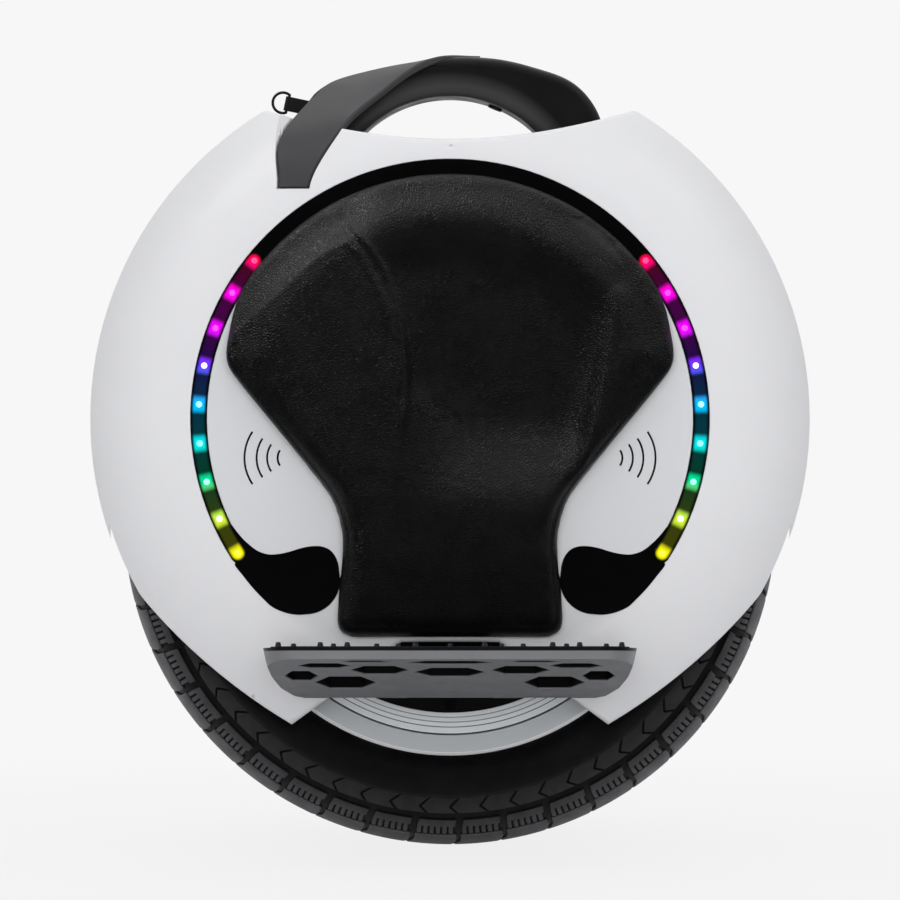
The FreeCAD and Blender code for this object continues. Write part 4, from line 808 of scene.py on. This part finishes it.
@dataclass
class LegPad:
    """The moulded calf pad on a side shell: a stuffed skin with a dish, wings and creases.

    Its zones are heights or distances between which a form comes in, and its runs are distances
    over which a form fades.
    """

    back: float = 0.0683
    flat: float = 0.0002
    rearward: float = 0.9
    outline_step: float = 0.002
    voxel: float = 0.0024
    smoothing: int = 8
    frames: int = 14
    pressure: float = 3.0
    quality: int = 4
    swell_cap: float = 0.0012
    held_zone: Point2 = (0.001, 0.005)
    solid_levels: Line = ((0.1363, 0.0080), (0.2620, 0.0140), (0.3720, 0.0170), (0.4192, 0.0120))
    levels: Line = ((0.136, 0.0085), (0.160, 0.0112), (0.190, 0.0140), (0.220, 0.0155),
                    (0.250, 0.0160), (0.372, 0.0165), (0.400, 0.0155), (0.420, 0.0120))
    thinnest: float = 0.0030
    outer: Crease = Crease(
        ((-0.0640, 0.3925), (-0.0590, 0.3862), (-0.0492, 0.3748), (-0.0399, 0.3599),
         (-0.0334, 0.3413), (-0.0288, 0.3209), (-0.0268, 0.2986), (-0.0272, 0.2763),
         (-0.0300, 0.2560)), 0.0014, 0.0020)
    inner: Crease = Crease(
        ((-0.0700, 0.3850), (-0.0641, 0.3784), (-0.0547, 0.3692), (-0.0455, 0.3524),
         (-0.0381, 0.3357), (-0.0330, 0.3171), (-0.0306, 0.2986), (-0.0300, 0.2820)),
        0.0007, 0.0024)
    brow: Crease = Crease(
        ((-0.1400, 0.3100), (-0.1328, 0.3209), (-0.1068, 0.3450), (-0.0826, 0.3673),
         (-0.0700, 0.3752), (-0.0600, 0.3790)), 0.0004, 0.0022, (-0.2, 0.4))
    ledge: Crease = Crease(
        ((0.0930, 0.3860), (0.0984, 0.3692), (0.1003, 0.3469), (0.0975, 0.3283),
         (0.0938, 0.3042), (0.0890, 0.2800), (0.0850, 0.2600)))
    ledge_run: float = 0.0045
    hollow_zone: Point2 = (0.2120, 0.2700)
    hollow_loss: float = 0.62
    hollow_height: float = 0.14
    crown_zone: Point2 = (0.300, 0.360)
    crown_rim: Point2 = (0.016, 0.062)
    calf_zone: Point2 = (0.255, 0.300)
    wall: float = 0.0050
    wall_runs: Point2 = (0.009, 0.030)
    dish: float = 0.0062
    dish_runs: Point2 = (0.012, 0.020)
    bevel_run: float = 0.022
    wing_bevel: float = 0.0120
    wing_zone: Point2 = (0.040, 0.066)
    far_bevel: float = 0.0060
    far_start: float = 0.004
    far_zone: Point2 = (0.30, 0.35)
    far_end: Point2 = (0.362, 0.396)
    upper_zone: Point2 = (0.24, 0.33)
    edge_shares: Point2 = (0.78, 0.26)
    edge_runs: Point2 = (0.012, 0.020)
    facing: float = 0.2
    pull_zone: Point2 = (0.0015, 0.0090)
    overlap: float = 0.013
    overlap_zone: Point2 = (0.31, 0.36)
    foot_zone: Point2 = (0.180, 0.225)
    foot_wider: float = 0.018
    foot_lower: float = 0.0021
    front_zone: Point2 = (0.003, 0.006)
    piping: Point3 = (0.0007, 0.0042, 0.0012)
    piping_zone: Point2 = (0.25, 0.29)

    def build(self) -> None:
        """Model the right pad, then mirror it to the left side."""
        skin = Bench.copy(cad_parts["right_leg_pad"], "right_leg_pad_skin")
        Bench.edit(skin, Bench.weld)
        rim = self.outline(skin)
        Bench.modify(skin, "REMESH", mode="VOXEL", voxel_size=self.voxel)
        self.shape(skin, rim)
        Bench.modify(skin, "SMOOTH", factor=0.5, iterations=self.smoothing)
        self.swell(skin)
        Bench.modify(skin, "SUBSURF", levels=1)
        self.press(skin, rim)
        for item in Bench.pair(skin, Paint.pad, "chassis", "pad_cover", angle=180.0,
                               node="*_leg_pad"):
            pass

    def outline(self, skin: Piece) -> kdtree.KDTree:
        """Collect points along the pad's outline on its back.

        Args:
            skin: The merged copy of the solid.

        Returns:
            A tree of outline points in x and z.
        """
        mesh = skin.data
        uses = Counter(key for face in mesh.polygons if face.normal.y > self.rearward
                       for key in face.edge_keys)
        spots = []
        for edge in mesh.edges:
            ends = [mesh.vertices[number].co for number in edge.vertices]
            if uses[edge.key] == 1 and all(abs(end.y + self.back) < self.flat for end in ends):
                first, last = (Vector((end.x, 0.0, end.z)) for end in ends)
                steps = max(1, int((last - first).length / self.outline_step))
                spots += [first.lerp(last, step / steps) for step in range(steps + 1)]
        tree = kdtree.KDTree(len(spots))
        for number, spot in enumerate(spots):
            tree.insert(spot, number)
        tree.balance()
        return tree

    @staticmethod
    def gaps(rows: np.ndarray, rim: kdtree.KDTree) -> np.ndarray:
        """Return the distance of each row's point from the outline."""
        return np.array([rim.find((x, 0.0, z))[2] for x, _, z in rows])

    def shape(self, skin: Piece, rim: kdtree.KDTree) -> None:
        """Give the skin its modelled thickness: wings, sloping brow, calf dish and ledge.

        Args:
            skin: The remeshed pad.
            rim: The outline's points.
        """
        rows = Bench.points(skin)
        x, y, z = rows.T
        gap = self.gaps(rows, rim)
        normals = np.empty(len(rows) * 3)
        skin.data.vertices.foreach_get("normal", normals)
        facing = -normals.reshape(-1, 3)[:, 1]
        was = np.interp(z, *zip(*self.solid_levels))
        share = np.clip((-y - self.back) / was, 0.0, 1.0)
        pull = ease(gap, *self.pull_zone)
        share = np.where(facing > self.facing, share + (1 - share) * pull,
                         np.where(facing < -self.facing, share * (1 - pull), share))
        rows[:, 1] = -self.back - share * self.thickness(x, z, gap)
        grow = 1 + self.overlap * ease(z, *self.overlap_zone)
        low = 1 - ease(z, *self.foot_zone)
        rows[:, 0] = x * (grow + self.foot_wider * low)
        rows[:, 2] = HOUSING.z + (z - HOUSING.z) * grow - self.foot_lower * low
        Bench.move(skin, rows)

    def thickness(self, x: np.ndarray, z: np.ndarray, gap: np.ndarray) -> np.ndarray:
        """Return the pad's thickness over its outline.

        Args:
            x: Places along the machine.
            z: Heights.
            gap: Distances from the outline.

        Returns:
            The thickness at each place, in metres.
        """
        outer, inner, brow, ledge = (fold.aside(x, z)[0] for fold in (self.outer, self.inner,
                                                                      self.brow, self.ledge))
        calf = 1 - ease(z, *self.calf_zone)
        top = self.hollow_zone[1]
        hollow = ease(z, *self.hollow_zone)
        hollow *= 1 - self.hollow_loss * np.clip((z - top) / self.hollow_height, 0.0, 1.0)
        hollow *= 1 - ease(z, *self.crown_zone) * (1 - ease(gap, *self.crown_rim))
        hollow *= fade_in(-ledge, self.ledge_run)
        step = self.wall * ease(inner, 0.0, self.wall_runs[0] + self.wall_runs[1] * calf)
        bowl = self.dish * fade_in(outer, self.dish_runs[0] + self.dish_runs[1] * calf)
        wing = self.wing_bevel * fade_in(brow, self.bevel_run) * ease(-x, *self.wing_zone)
        far = self.far_bevel * fade_in(ledge - self.far_start, self.bevel_run)
        far *= ease(z, *self.far_zone) * (1 - ease(z, *self.far_end))
        full = np.interp(z, *zip(*self.levels)) - hollow * (step + bowl) - wing - far
        upper = ease(z, *self.upper_zone)
        edge = self.edge_shares[0] - self.edge_shares[1] * upper
        rim = edge + (1 - edge) * ease(gap, 0.0, self.edge_runs[0] + self.edge_runs[1] * upper)
        return np.maximum(full * rim, self.thinnest)

    def swell(self, skin: Piece) -> None:
        """Blow the skin up a little as cloth, its back held flat.

        Args:
            skin: The shaped pad.
        """
        start = Bench.points(skin)
        cloth = skin.modifiers.new("cloth", "CLOTH")
        cloth.settings.use_pressure = True
        cloth.settings.uniform_pressure_force = self.pressure
        cloth.settings.effector_weights.gravity = 0.0
        cloth.settings.quality = self.quality
        cloth.point_cache.frame_start = 1
        cloth.point_cache.frame_end = self.frames
        for number in range(1, self.frames + 1):
            bpy.context.scene.frame_set(number)
        Bench.pick(skin)
        bpy.ops.object.modifier_apply(modifier=cloth.name)
        bpy.context.scene.frame_set(1)
        shift = Bench.points(skin) - start
        size = np.linalg.norm(shift, axis=1, keepdims=True)
        shift *= np.minimum(1.0, self.swell_cap / np.maximum(size, 1e-9))
        low, high = self.held_zone
        loose = np.clip((-start[:, 1] - self.back - low) / (high - low), 0.0, 1.0)
        Bench.move(skin, start + shift * loose[:, None])

    def press(self, skin: Piece, rim: kdtree.KDTree) -> None:
        """Press fine creases along the wing and the brow, and a piped edge round the foot.

        Args:
            skin: The swollen pad.
            rim: The outline's points.
        """
        rows = Bench.points(skin)
        x, y, z = rows.T
        depth, middle, width = self.piping
        height = sum(fold.ridge(x, z) for fold in (self.outer, self.inner, self.brow))
        piped = np.exp(-((self.gaps(rows, rim) - middle) / width) ** 2)
        height -= depth * piped * (1 - ease(z, *self.piping_zone))
        rows[:, 1] = y - height * ease(-y - self.back, *self.front_zone)
        Bench.move(skin, rows)


@dataclass
class Tread:
    """The tyre: a spun carcass with crown blocks, sipe bars and shoulder plates.

    Leans are angles across the section in degrees, and spans are a start and a width in pitches.
    """

    pitches: int = 43
    arrows: int = 60
    crown: Point2 = (2.5, 41.0)
    block_span: Point2 = (0.05, 0.90)
    bars: Point3 = (44.5, 57.5, 66.5)
    bar_span: Point2 = (0.09, 0.84)
    sipes: int = 5
    tooth: float = 0.66
    shoulder: Point2 = (76.0, 97.0)
    arrow_span: Point2 = (0.045, 0.91)
    arrow_tip: float = 0.42
    arrow_tail: Point2 = (0.2, 0.44)
    arrow_bend: float = 0.55
    bead: float = 0.1492
    bead_half: float = 0.0205
    tread_end: float = 98.0
    tread_fade: float = 3.0
    section: int = 56
    spokes: int = 168
    weld: float = 0.00002
    swing: Point2 = (0.30, 0.07)
    swing_lean: float = 70.0
    waves: float = 4.2
    block_root: float = 0.0004
    block_soften: float = 0.0006
    bar_root: float = 0.0002
    bar_lap: float = 0.5
    bar_lift: float = -0.0001
    arrow_root: float = -0.0004
    arrow_lift: float = -0.0006
    soften: float = 0.0003
    upright: float = 0.9
    leftward: float = 0.3

    def build(self) -> None:
        """Model the carcass and one pitch of each tread row, and copy them round the wheel."""
        carcass = self.carcass()
        self.settle(carcass)
        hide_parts("tyre")
        for name, items, count in (("tread_crown_blocks", [self.block()], self.pitches),
                                   ("tread_sipe_bars", self.comb(), self.pitches),
                                   ("tread_shoulder_plates", [self.arrow()], self.arrows)):
            unit = Bench.join(items, name)
            self.repeat(unit, name, count)
            self.settle(unit)

    @staticmethod
    def settle(item: Piece) -> None:
        """Finish a piece of the tyre."""
        Bench.done(item, Paint.rubber, "wheel", "tyre_rubber", angle=35.0)

    def spot(self, turn: float, lean: float, lift: float) -> Vector:
        """Return a point on the tyre.

        Args:
            turn: Angle round the wheel in pitches.
            lean: Angle across the section from the crown to the right, in degrees.
            lift: Height above the full section, in metres.

        Returns:
            The point, in metres.
        """
        angle, tilt = 2 * math.pi * turn / self.pitches, math.radians(lean)
        tube = TYRE_TUBE + lift
        radius = TYRE_RING + tube * math.cos(tilt)
        return AXLE + Vector((radius * math.sin(angle), -tube * math.sin(tilt),
                              -radius * math.cos(angle)))

    def carcass(self) -> Piece:
        """Spin the tyre's section round the axle, and return it."""
        Bench.pick()
        bpy.ops.mesh.primitive_circle_add(vertices=self.section, radius=TYRE_TUBE,
                                          location=(TYRE_RING, 0.0, AXLE.z))
        item = bpy.context.object
        bpy.ops.object.transform_apply(location=True, rotation=True, scale=True)
        rows = Bench.points(item)
        out = rows[:, 0] - TYRE_RING
        lean = np.degrees(np.arctan2(np.abs(rows[:, 1]), out))
        sunk = np.clip((self.tread_end - lean) / self.tread_fade, 0.0, 1.0)
        kept = 1 - TYRE_GROOVE / TYRE_TUBE * sunk
        rows[:, 0] = np.maximum(TYRE_RING + out * kept, self.bead)
        inward = np.clip((TYRE_RING - rows[:, 0]) / (TYRE_RING - self.bead), 0.0, 1.0)
        limit = self.bead_half + (TYRE_TUBE - self.bead_half) * np.sqrt(1 - inward ** 2)
        rows[:, 1] = np.clip(rows[:, 1] * kept, -limit, limit)
        Bench.move(item, rows)
        Bench.edit(item, lambda: bpy.ops.mesh.spin(steps=self.spokes, angle=2 * math.pi,
                                                   center=tuple(AXLE), axis=(0, 1, 0)),
                   lambda: Bench.weld(self.weld), Bench.turn_out)
        item.name = item.data.name = "tyre_carcass"
        return item

    def plate(self, cells: tuple[int, int], place: Callable[[float, float], Vector],
              root: float, soften: float) -> Piece:
        """Lay a grid on the tyre and give it thickness and rounded edges.

        Args:
            cells: Cells round the wheel and across the section.
            place: Gives the point for shares from 0 to 1 of both ways.
            root: How far its thickness is over the groove's depth, in metres.
            soften: The rounding of its edges in metres.

        Returns:
            The plate.
        """
        Bench.pick()
        bpy.ops.mesh.primitive_grid_add(x_subdivisions=cells[0], y_subdivisions=cells[1], size=1.0)
        item = bpy.context.object
        rows = Bench.points(item)
        Bench.move(item, np.array([tuple(place(u + 0.5, v + 0.5)) for u, v, _ in rows]))
        Bench.edit(item, Bench.turn_out)
        face = item.data.polygons[0]
        inward = face.normal.dot(Vector(face.center) - AXLE) < 0
        if inward and abs(face.normal.y) < self.upright or face.normal.y > self.leftward:
            item.data.flip_normals()
        Bench.modify(item, "SOLIDIFY", thickness=TYRE_GROOVE + root, offset=-1.0)
        Bench.bevel(item, soften, 1)
        return item

    def sway(self, lean: float) -> float:
        """Return how far the grooves between blocks have swung round at a lean, in pitches."""
        steady, wave = self.swing
        return steady * (lean / self.swing_lean) + wave * math.sin(math.radians(lean) * self.waves)

    def patch(self, span: Point2, leans: Point2, lift: float) -> Callable[[float, float], Vector]:
        """Return what places a patch of tread that sways with the grooves.

        Args:
            span: The patch's start and width.
            leans: The leans of its two edges.
            lift: Height above the full section, in metres.

        Returns:
            A call that gives the point for shares from 0 to 1 of both ways.
        """
        def place(u: float, v: float) -> Vector:
            """Return the patch's point for its shares."""
            lean = leans[0] + (leans[1] - leans[0]) * v
            return self.spot(span[0] + span[1] * u + self.sway(lean), lean, lift)
        return place

    def block(self) -> Piece:
        """Return one crown block."""
        return self.plate((6, 7), self.patch(self.block_span, self.crown, 0.0),
                          self.block_root, self.block_soften)

    def comb(self) -> list[Piece]:
        """Return the pieces of one bar, which narrow sipes part."""
        foot, joint, head = self.bars
        start, width = self.bar_span
        tooth = width / (self.sipes + 1)
        rows = [((10, 4), self.bar_span, (joint - self.bar_lap, head))]
        rows += [((2, 4), (start + tooth * index, tooth * self.tooth), (foot, joint))
                 for index in range(self.sipes + 1)]
        return [self.plate(cells, self.patch(span, leans, self.bar_lift), self.bar_root,
                           self.soften) for cells, span, leans in rows]

    def arrow(self) -> Piece:
        """Return one shoulder plate, whose ends are cut to an arrow shape."""
        low, high = self.shoulder
        start, width = self.arrow_span
        edge, tail = self.arrow_tail

        def place(u: float, v: float) -> Vector:
            """Return the plate's point for its shares."""
            bend = self.arrow_bend * (abs(v - self.arrow_tip) if v > edge else tail - v)
            turn = self.pitches / self.arrows * (start + width * u + bend)
            return self.spot(turn, low + (high - low) * v, self.arrow_lift)
        return self.plate((6, 10), place, self.arrow_root, self.soften)

    @staticmethod
    def repeat(unit: Piece, name: str, count: int) -> None:
        """Copy one pitch to both sides and all round the wheel.

        Args:
            unit: The pitch that was modelled.
            name: The name of the whole row.
            count: How many pitches go round.
        """
        def turned(pitches: float) -> Matrix:
            """Return a turn about the axle."""
            turn = Matrix.Rotation(2 * math.pi / count * pitches, 4, "Y")
            return Matrix.Translation(AXLE) @ turn @ Matrix.Translation(-AXLE)
        other = Bench.copy(unit, f"{name}_other", turned(0.5) @ MIRROR)
        pair = Bench.join([unit, other], name)
        copies = [Bench.copy(pair, f"{name}_{k}", turned(k)) for k in range(1, count)]
        Bench.join([pair, *copies], name)


@dataclass
class RingCores:
    """The bright cores of the side lights, seen through the ring lens."""

    face: float = 0.0678
    size: float = 0.0019
    sides: int = 20
    proud: float = 0.00035
    crown: float = 0.0002
    crown_inset: float = 0.35
    hues: tuple[Colour, ...] = (tint(255, 0, 110), tint(255, 0, 245), tint(250, 0, 255),
                                tint(232, 222, 255), tint(130, 232, 255), tint(110, 246, 246),
                                tint(130, 255, 220), tint(252, 255, 205), tint(252, 242, 0))

    def build(self) -> None:
        """Model one domed core, copy it along both arcs, and mirror the set to the left side."""
        core = self.core()
        copies = []
        for index, hue in enumerate(self.hues):
            finish = Glow(f"led_core_{index}", hue, 0.3)
            for way in (-1, 1):
                angle = (LIGHT_FIRST + LIGHT_STEP * index) * way
                spot = HOUSING + LIGHT_RADIUS * Vector((math.sin(angle), 0.0, math.cos(angle)))
                twin = Bench.copy(core, f"core_{index}_{way}", Matrix.Translation(spot))
                Bench.wear(twin, finish)
                copies.append(twin)
        bpy.data.objects.remove(core)
        right = Bench.join(copies, "right_led_cores")
        Bench.pair(right, None, "chassis", "led_light", angle=60.0)

    def core(self) -> Piece:
        """Return one core: a disc drawn up into a low dome."""
        Bench.pick()
        bpy.ops.mesh.primitive_circle_add(vertices=self.sides, radius=self.size, fill_type="NGON",
                                          location=(0.0, -self.face, 0.0),
                                          rotation=(math.pi / 2, 0.0, 0.0))
        item = bpy.context.object
        bpy.ops.object.transform_apply(location=True, rotation=True, scale=True)
        Bench.edit(item, lambda: Bench.raise_face(self.proud),
                   lambda: bpy.ops.mesh.inset(thickness=self.size * self.crown_inset),
                   lambda: bpy.ops.transform.translate(value=(0.0, -self.crown, 0.0)),
                   Bench.turn_out)
        return item


@dataclass
class RingTails:
    """The black lobes that close the light ring's lower ends."""

    face: float = 0.0679
    proud: float = 0.00045
    soften: float = 0.00012
    steps: int = 4
    corners: Line = (
        (-0.1366, 0.2062), (-0.1326, 0.2010), (-0.1290, 0.1966), (-0.1254, 0.1930),
        (-0.1205, 0.1890), (-0.1165, 0.1869), (-0.1115, 0.1857), (-0.1050, 0.1861),
        (-0.0985, 0.1876), (-0.0920, 0.1896), (-0.0855, 0.1908), (-0.0790, 0.1906),
        (-0.0738, 0.1882), (-0.0702, 0.1833), (-0.0686, 0.1771), (-0.0686, 0.1700),
        (-0.0709, 0.1622), (-0.0757, 0.1553), (-0.0829, 0.1505), (-0.0920, 0.1484),
        (-0.1011, 0.1495), (-0.1096, 0.1531), (-0.1154, 0.1583), (-0.1219, 0.1651),
        (-0.1284, 0.1732), (-0.1330, 0.1794), (-0.1302, 0.1812), (-0.1266, 0.1834),
        (-0.1258, 0.1872), (-0.1278, 0.1908), (-0.1306, 0.1950), (-0.1340, 0.2008))

    def build(self) -> None:
        """Model one lobe, and mirror it to both ends of both sides."""
        lobe = self.lobe()
        for side in Side:
            name = side.named("*_ring_tails")
            ends = [Bench.copy(lobe, f"{name}_{way}", Matrix.Diagonal((way, -side.value, 1, 1)))
                    for way in (1, -1)]
            Bench.done(Bench.join(ends, name), Paint.lens, "chassis", "lens_black", angle=8.0)
        bpy.data.objects.remove(lobe)

    def lobe(self) -> Piece:
        """Return one lobe: a drawn outline, raised and rounded."""
        loop = self.rounded()
        Bench.pick()
        bpy.ops.mesh.primitive_circle_add(vertices=len(loop), radius=0.02, fill_type="NGON")
        item = bpy.context.object
        Bench.move(item, np.array([(x, -self.face, z) for x, z in loop]))
        Bench.edit(item, lambda: Bench.raise_face(self.proud), Bench.turn_out)
        Bench.bevel(item, self.soften, 2)
        return item

    def rounded(self) -> list[Point2]:
        """Return the outline with a smooth curve through its corners."""
        corners = [np.array(corner) for corner in self.corners]
        count = len(corners)
        loop = []
        for index in range(count):
            before, first, last, after = (corners[(index + k) % count] for k in (-1, 0, 1, 2))
            for step in range(self.steps):
                t = step / self.steps
                bend = (last - before) * t + (2 * before - 5 * first + 4 * last - after) * t * t
                bend = bend + (3 * first - before - 3 * last + after) * t ** 3
                loop.append(tuple(first + 0.5 * bend))
        return loop


@dataclass
class PedalCastings:
    """The pedals' bodies, whose ends slope in from the lip down to the keel."""

    solid_end: Point3 = (0.09021, 0.00182, 0.02179)
    ends: Line = ((-0.0199, 0.0890), (-0.0187, 0.0953), (-0.0145, 0.1023), (-0.0084, 0.1068),
                  (0.0015, 0.1098), (0.0068, 0.1117), (0.0085, 0.1113))
    inner: float = 0.070
    soften: float = 0.0005
    flat: float = math.radians(0.5)
    sharp: float = math.radians(30)

    def build(self) -> None:
        """Shape the right pedal's casting, and mirror it to the left side."""
        right = Bench.copy(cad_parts["right_pedal"], "right_pedal_casting")
        Bench.edit(right, Bench.weld,
                   lambda: bpy.ops.mesh.dissolve_limited(angle_limit=self.flat))
        self.slope(right)
        Bench.bevel(right, self.soften, 2, self.sharp)
        Bench.pair(right, Paint.pedal, "*_pedal", "pedal_alloy", angle=14.0, node="*_pedal")

    def slope(self, item: Piece) -> None:
        """Draw the ends in towards the keel.

        Args:
            item: The right pedal's copy.
        """
        rows = Bench.points(item)
        out, up = -rows[:, 1] - PEDAL_HINGE[0], rows[:, 2] - PEDAL_HINGE[1]
        rise = -out * math.sin(PEDAL_TILT) + up * math.cos(PEDAL_TILT)
        middle, level, radius = self.solid_end
        below = np.minimum(rise - level, 0.0)
        was = middle + np.sqrt(np.maximum(radius ** 2 - below ** 2, 0.0))
        wanted = np.interp(rise, *zip(*self.ends))
        share = np.clip((np.abs(rows[:, 0]) - self.inner) / (was - self.inner), 0.0, 1.0) ** 2
        rows[:, 0] -= np.sign(rows[:, 0]) * share * (was - wanted)
        Bench.move(item, rows)


@dataclass(frozen=True)
class Lamp:
    """One soft studio panel."""

    name: str
    place: Point3
    size: Point2
    watts: float
    mirrored: bool = True
    matt: bool = True
    aim: Point3 = (0.0, 0.0, 0.27)

    def build(self) -> None:
        """Hang the panel and turn it to its aim."""
        light = bpy.data.lights.new(self.name, "AREA")
        light.shape = "RECTANGLE"
        light.size, light.size_y = self.size
        light.energy = self.watts
        item = bpy.data.objects.new(self.name, light)
        item.location = self.place
        item.visible_glossy = self.mirrored
        item.visible_diffuse = self.matt
        way = Vector(self.aim) - Vector(self.place)
        item.rotation_euler = way.to_track_quat("-Z", "Y").to_euler()
        bpy.context.scene.collection.objects.link(item)


@dataclass
class Studio:
    """Camera, lamps, white surround and pale floor."""

    distance: float = 2.5
    eye: float = 0.2502
    lens: float = 157.5
    sensor: float = 36.0
    white: float = 0.93
    dome: Colour = (0.98, 0.985, 1.0)
    dome_levels: Point2 = (0.47, 0.03)
    middle: Point2 = (-0.25, 0.25)
    floor_size: float = 9.0
    floor_level: float = -0.0004
    shadow_fade: Point2 = (0.25, 0.9)
    shadow_share: float = 0.11
    floor_dim: float = 0.08
    floor_tones: tuple[Colour, Colour] = ((0.78, 0.78, 0.79), (0.8, 0.8, 0.81))
    floor_noise: Point2 = (40.0, 2.0)
    floor_cells: int = 8
    lamps: tuple[Lamp, ...] = (
        Lamp("front_fill", (0.0, -2.6, 0.6), (2.2, 1.6), 29.0, mirrored=False),
        Lamp("back_fill", (0.0, 2.6, 0.6), (2.2, 1.6), 27.0, mirrored=False),
        Lamp("top_panel", (0.0, -0.5, 2.0), (1.8, 0.9), 7.0),
        Lamp("back_panel", (0.0, 0.9, 2.0), (1.8, 0.9), 7.0),
        Lamp("key_panel", (-1.2, -1.15, 1.85), (0.9, 0.9), 17.0, matt=False),
        Lamp("side_panel", (1.3, -0.9, 1.6), (0.7, 0.7), 5.0, matt=False),
        Lamp("front_panel", (0.0, -2.2, 1.45), (2.0, 1.0), 3.2, matt=False),
    )

    def build(self) -> None:
        """Set up the studio."""
        bpy.context.scene.view_settings.view_transform = "Standard"
        self.camera()
        self.surround()
        self.floor()
        for lamp in self.lamps:
            lamp.build()

    def camera(self) -> None:
        """Stand the camera square in front of the right side."""
        data = bpy.data.cameras.new("camera")
        data.lens = self.lens
        data.sensor_width = self.sensor
        item = bpy.data.objects.new("camera", data)
        item.location = (0.0, -self.distance, self.eye)
        item.rotation_euler = (math.pi / 2, 0.0, 0.0)
        bpy.context.scene.collection.objects.link(item)
        bpy.context.scene.camera = item

    def light(self, graph: Graph, kind: str, strength: float) -> Socket:
        """Return a white light of a kind of shader."""
        feeds = {"Color": (*(self.white,) * 3, 1.0), "Strength": strength}
        return graph.add(kind, feeds).outputs[0]

    @staticmethod
    def mix(graph: Graph, share: Socket, first: Socket, second: Socket) -> Socket:
        """Return a mix of two shaders, the second of them by its share."""
        return graph.add("MixShader", {0: share, 1: first, 2: second}).outputs[0]

    def surround(self) -> None:
        """Make the surround white to the eye and to reflections behind, and soft elsewhere."""
        world = bpy.data.worlds.new("surround")
        world.use_nodes = True
        graph = Graph(world.node_tree)
        rays = graph.add("LightPath").outputs
        way = graph.add("SeparateXYZ", {0: graph.add("TexCoord").outputs["Generated"]})
        behind = graph.span(way.outputs["Y"], *self.middle, 0.0, 1.0)
        mirrored = graph.math("MAXIMUM", rays["Is Glossy Ray"], rays["Is Transmission Ray"])
        seen = graph.math("MAXIMUM", rays["Is Camera Ray"],
                          graph.math("MULTIPLY", mirrored, behind))
        level = graph.span(rays["Is Glossy Ray"], 0.0, 1.0, *self.dome_levels)
        soft = graph.add("Background", {"Color": (*self.dome, 1.0), "Strength": level}).outputs[0]
        whole = self.mix(graph, seen, soft, self.light(graph, "Background", 1.0))
        graph.add("OutputWorld", {"Surface": whole})
        bpy.context.scene.world = world

    def floor(self) -> None:
        """Lay a pale floor that keeps the object's shadow and fades into the surround."""
        Bench.pick()
        bpy.ops.mesh.primitive_grid_add(
            x_subdivisions=self.floor_cells, y_subdivisions=self.floor_cells,
            size=self.floor_size, location=(0.0, 0.0, self.floor_level))
        item = bpy.context.object
        bpy.ops.object.transform_apply(location=True, rotation=True, scale=True)
        item.name = "floor"
        made = bpy.data.materials.new("pale_floor")
        made.use_nodes = True
        graph = Graph(made.node_tree)
        rays = graph.add("LightPath").outputs
        mirrored = graph.math("MAXIMUM", rays["Is Glossy Ray"], rays["Is Transmission Ray"])
        seen = graph.math("MAXIMUM", rays["Is Camera Ray"], mirrored)
        reach = graph.add("VectorMath", {0: graph.place()}, operation="LENGTH").outputs["Value"]
        share = graph.math("MAXIMUM", graph.math("SUBTRACT", 1.0, seen),
                           graph.span(reach, *self.shadow_fade, self.shadow_share, 0.0))
        pale = graph.ramp(graph.noise(*self.floor_noise),
                          tuple(zip((NOISE_LOW, NOISE_HIGH), self.floor_tones)))
        matt = graph.add("BsdfDiffuse", {"Color": pale}).outputs[0]
        plain = self.mix(graph, share, self.light(graph, "Emission", 1.0), matt)
        front = graph.math("MULTIPLY", rays["Is Glossy Ray"],
                           graph.span(graph.axes()[1], *self.middle, 1.0, 0.0))
        calm = self.mix(graph, front, plain, self.light(graph, "Emission", self.floor_dim))
        graph.add("OutputMaterial", {"Surface": calm})
        item.data.materials.append(made)


def main() -> None:
    """Build the studio, the finishes and every piece."""
    logging.basicConfig(level=logging.INFO, format="%(message)s")
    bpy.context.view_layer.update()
    Studio().build()
    Paint.dress_nodes()
    RingCores().build()
    RingTails().build()
    PedalCastings().build()
    Tread().build()
    LegPad().build()


if __name__ == "__main__":
    main()
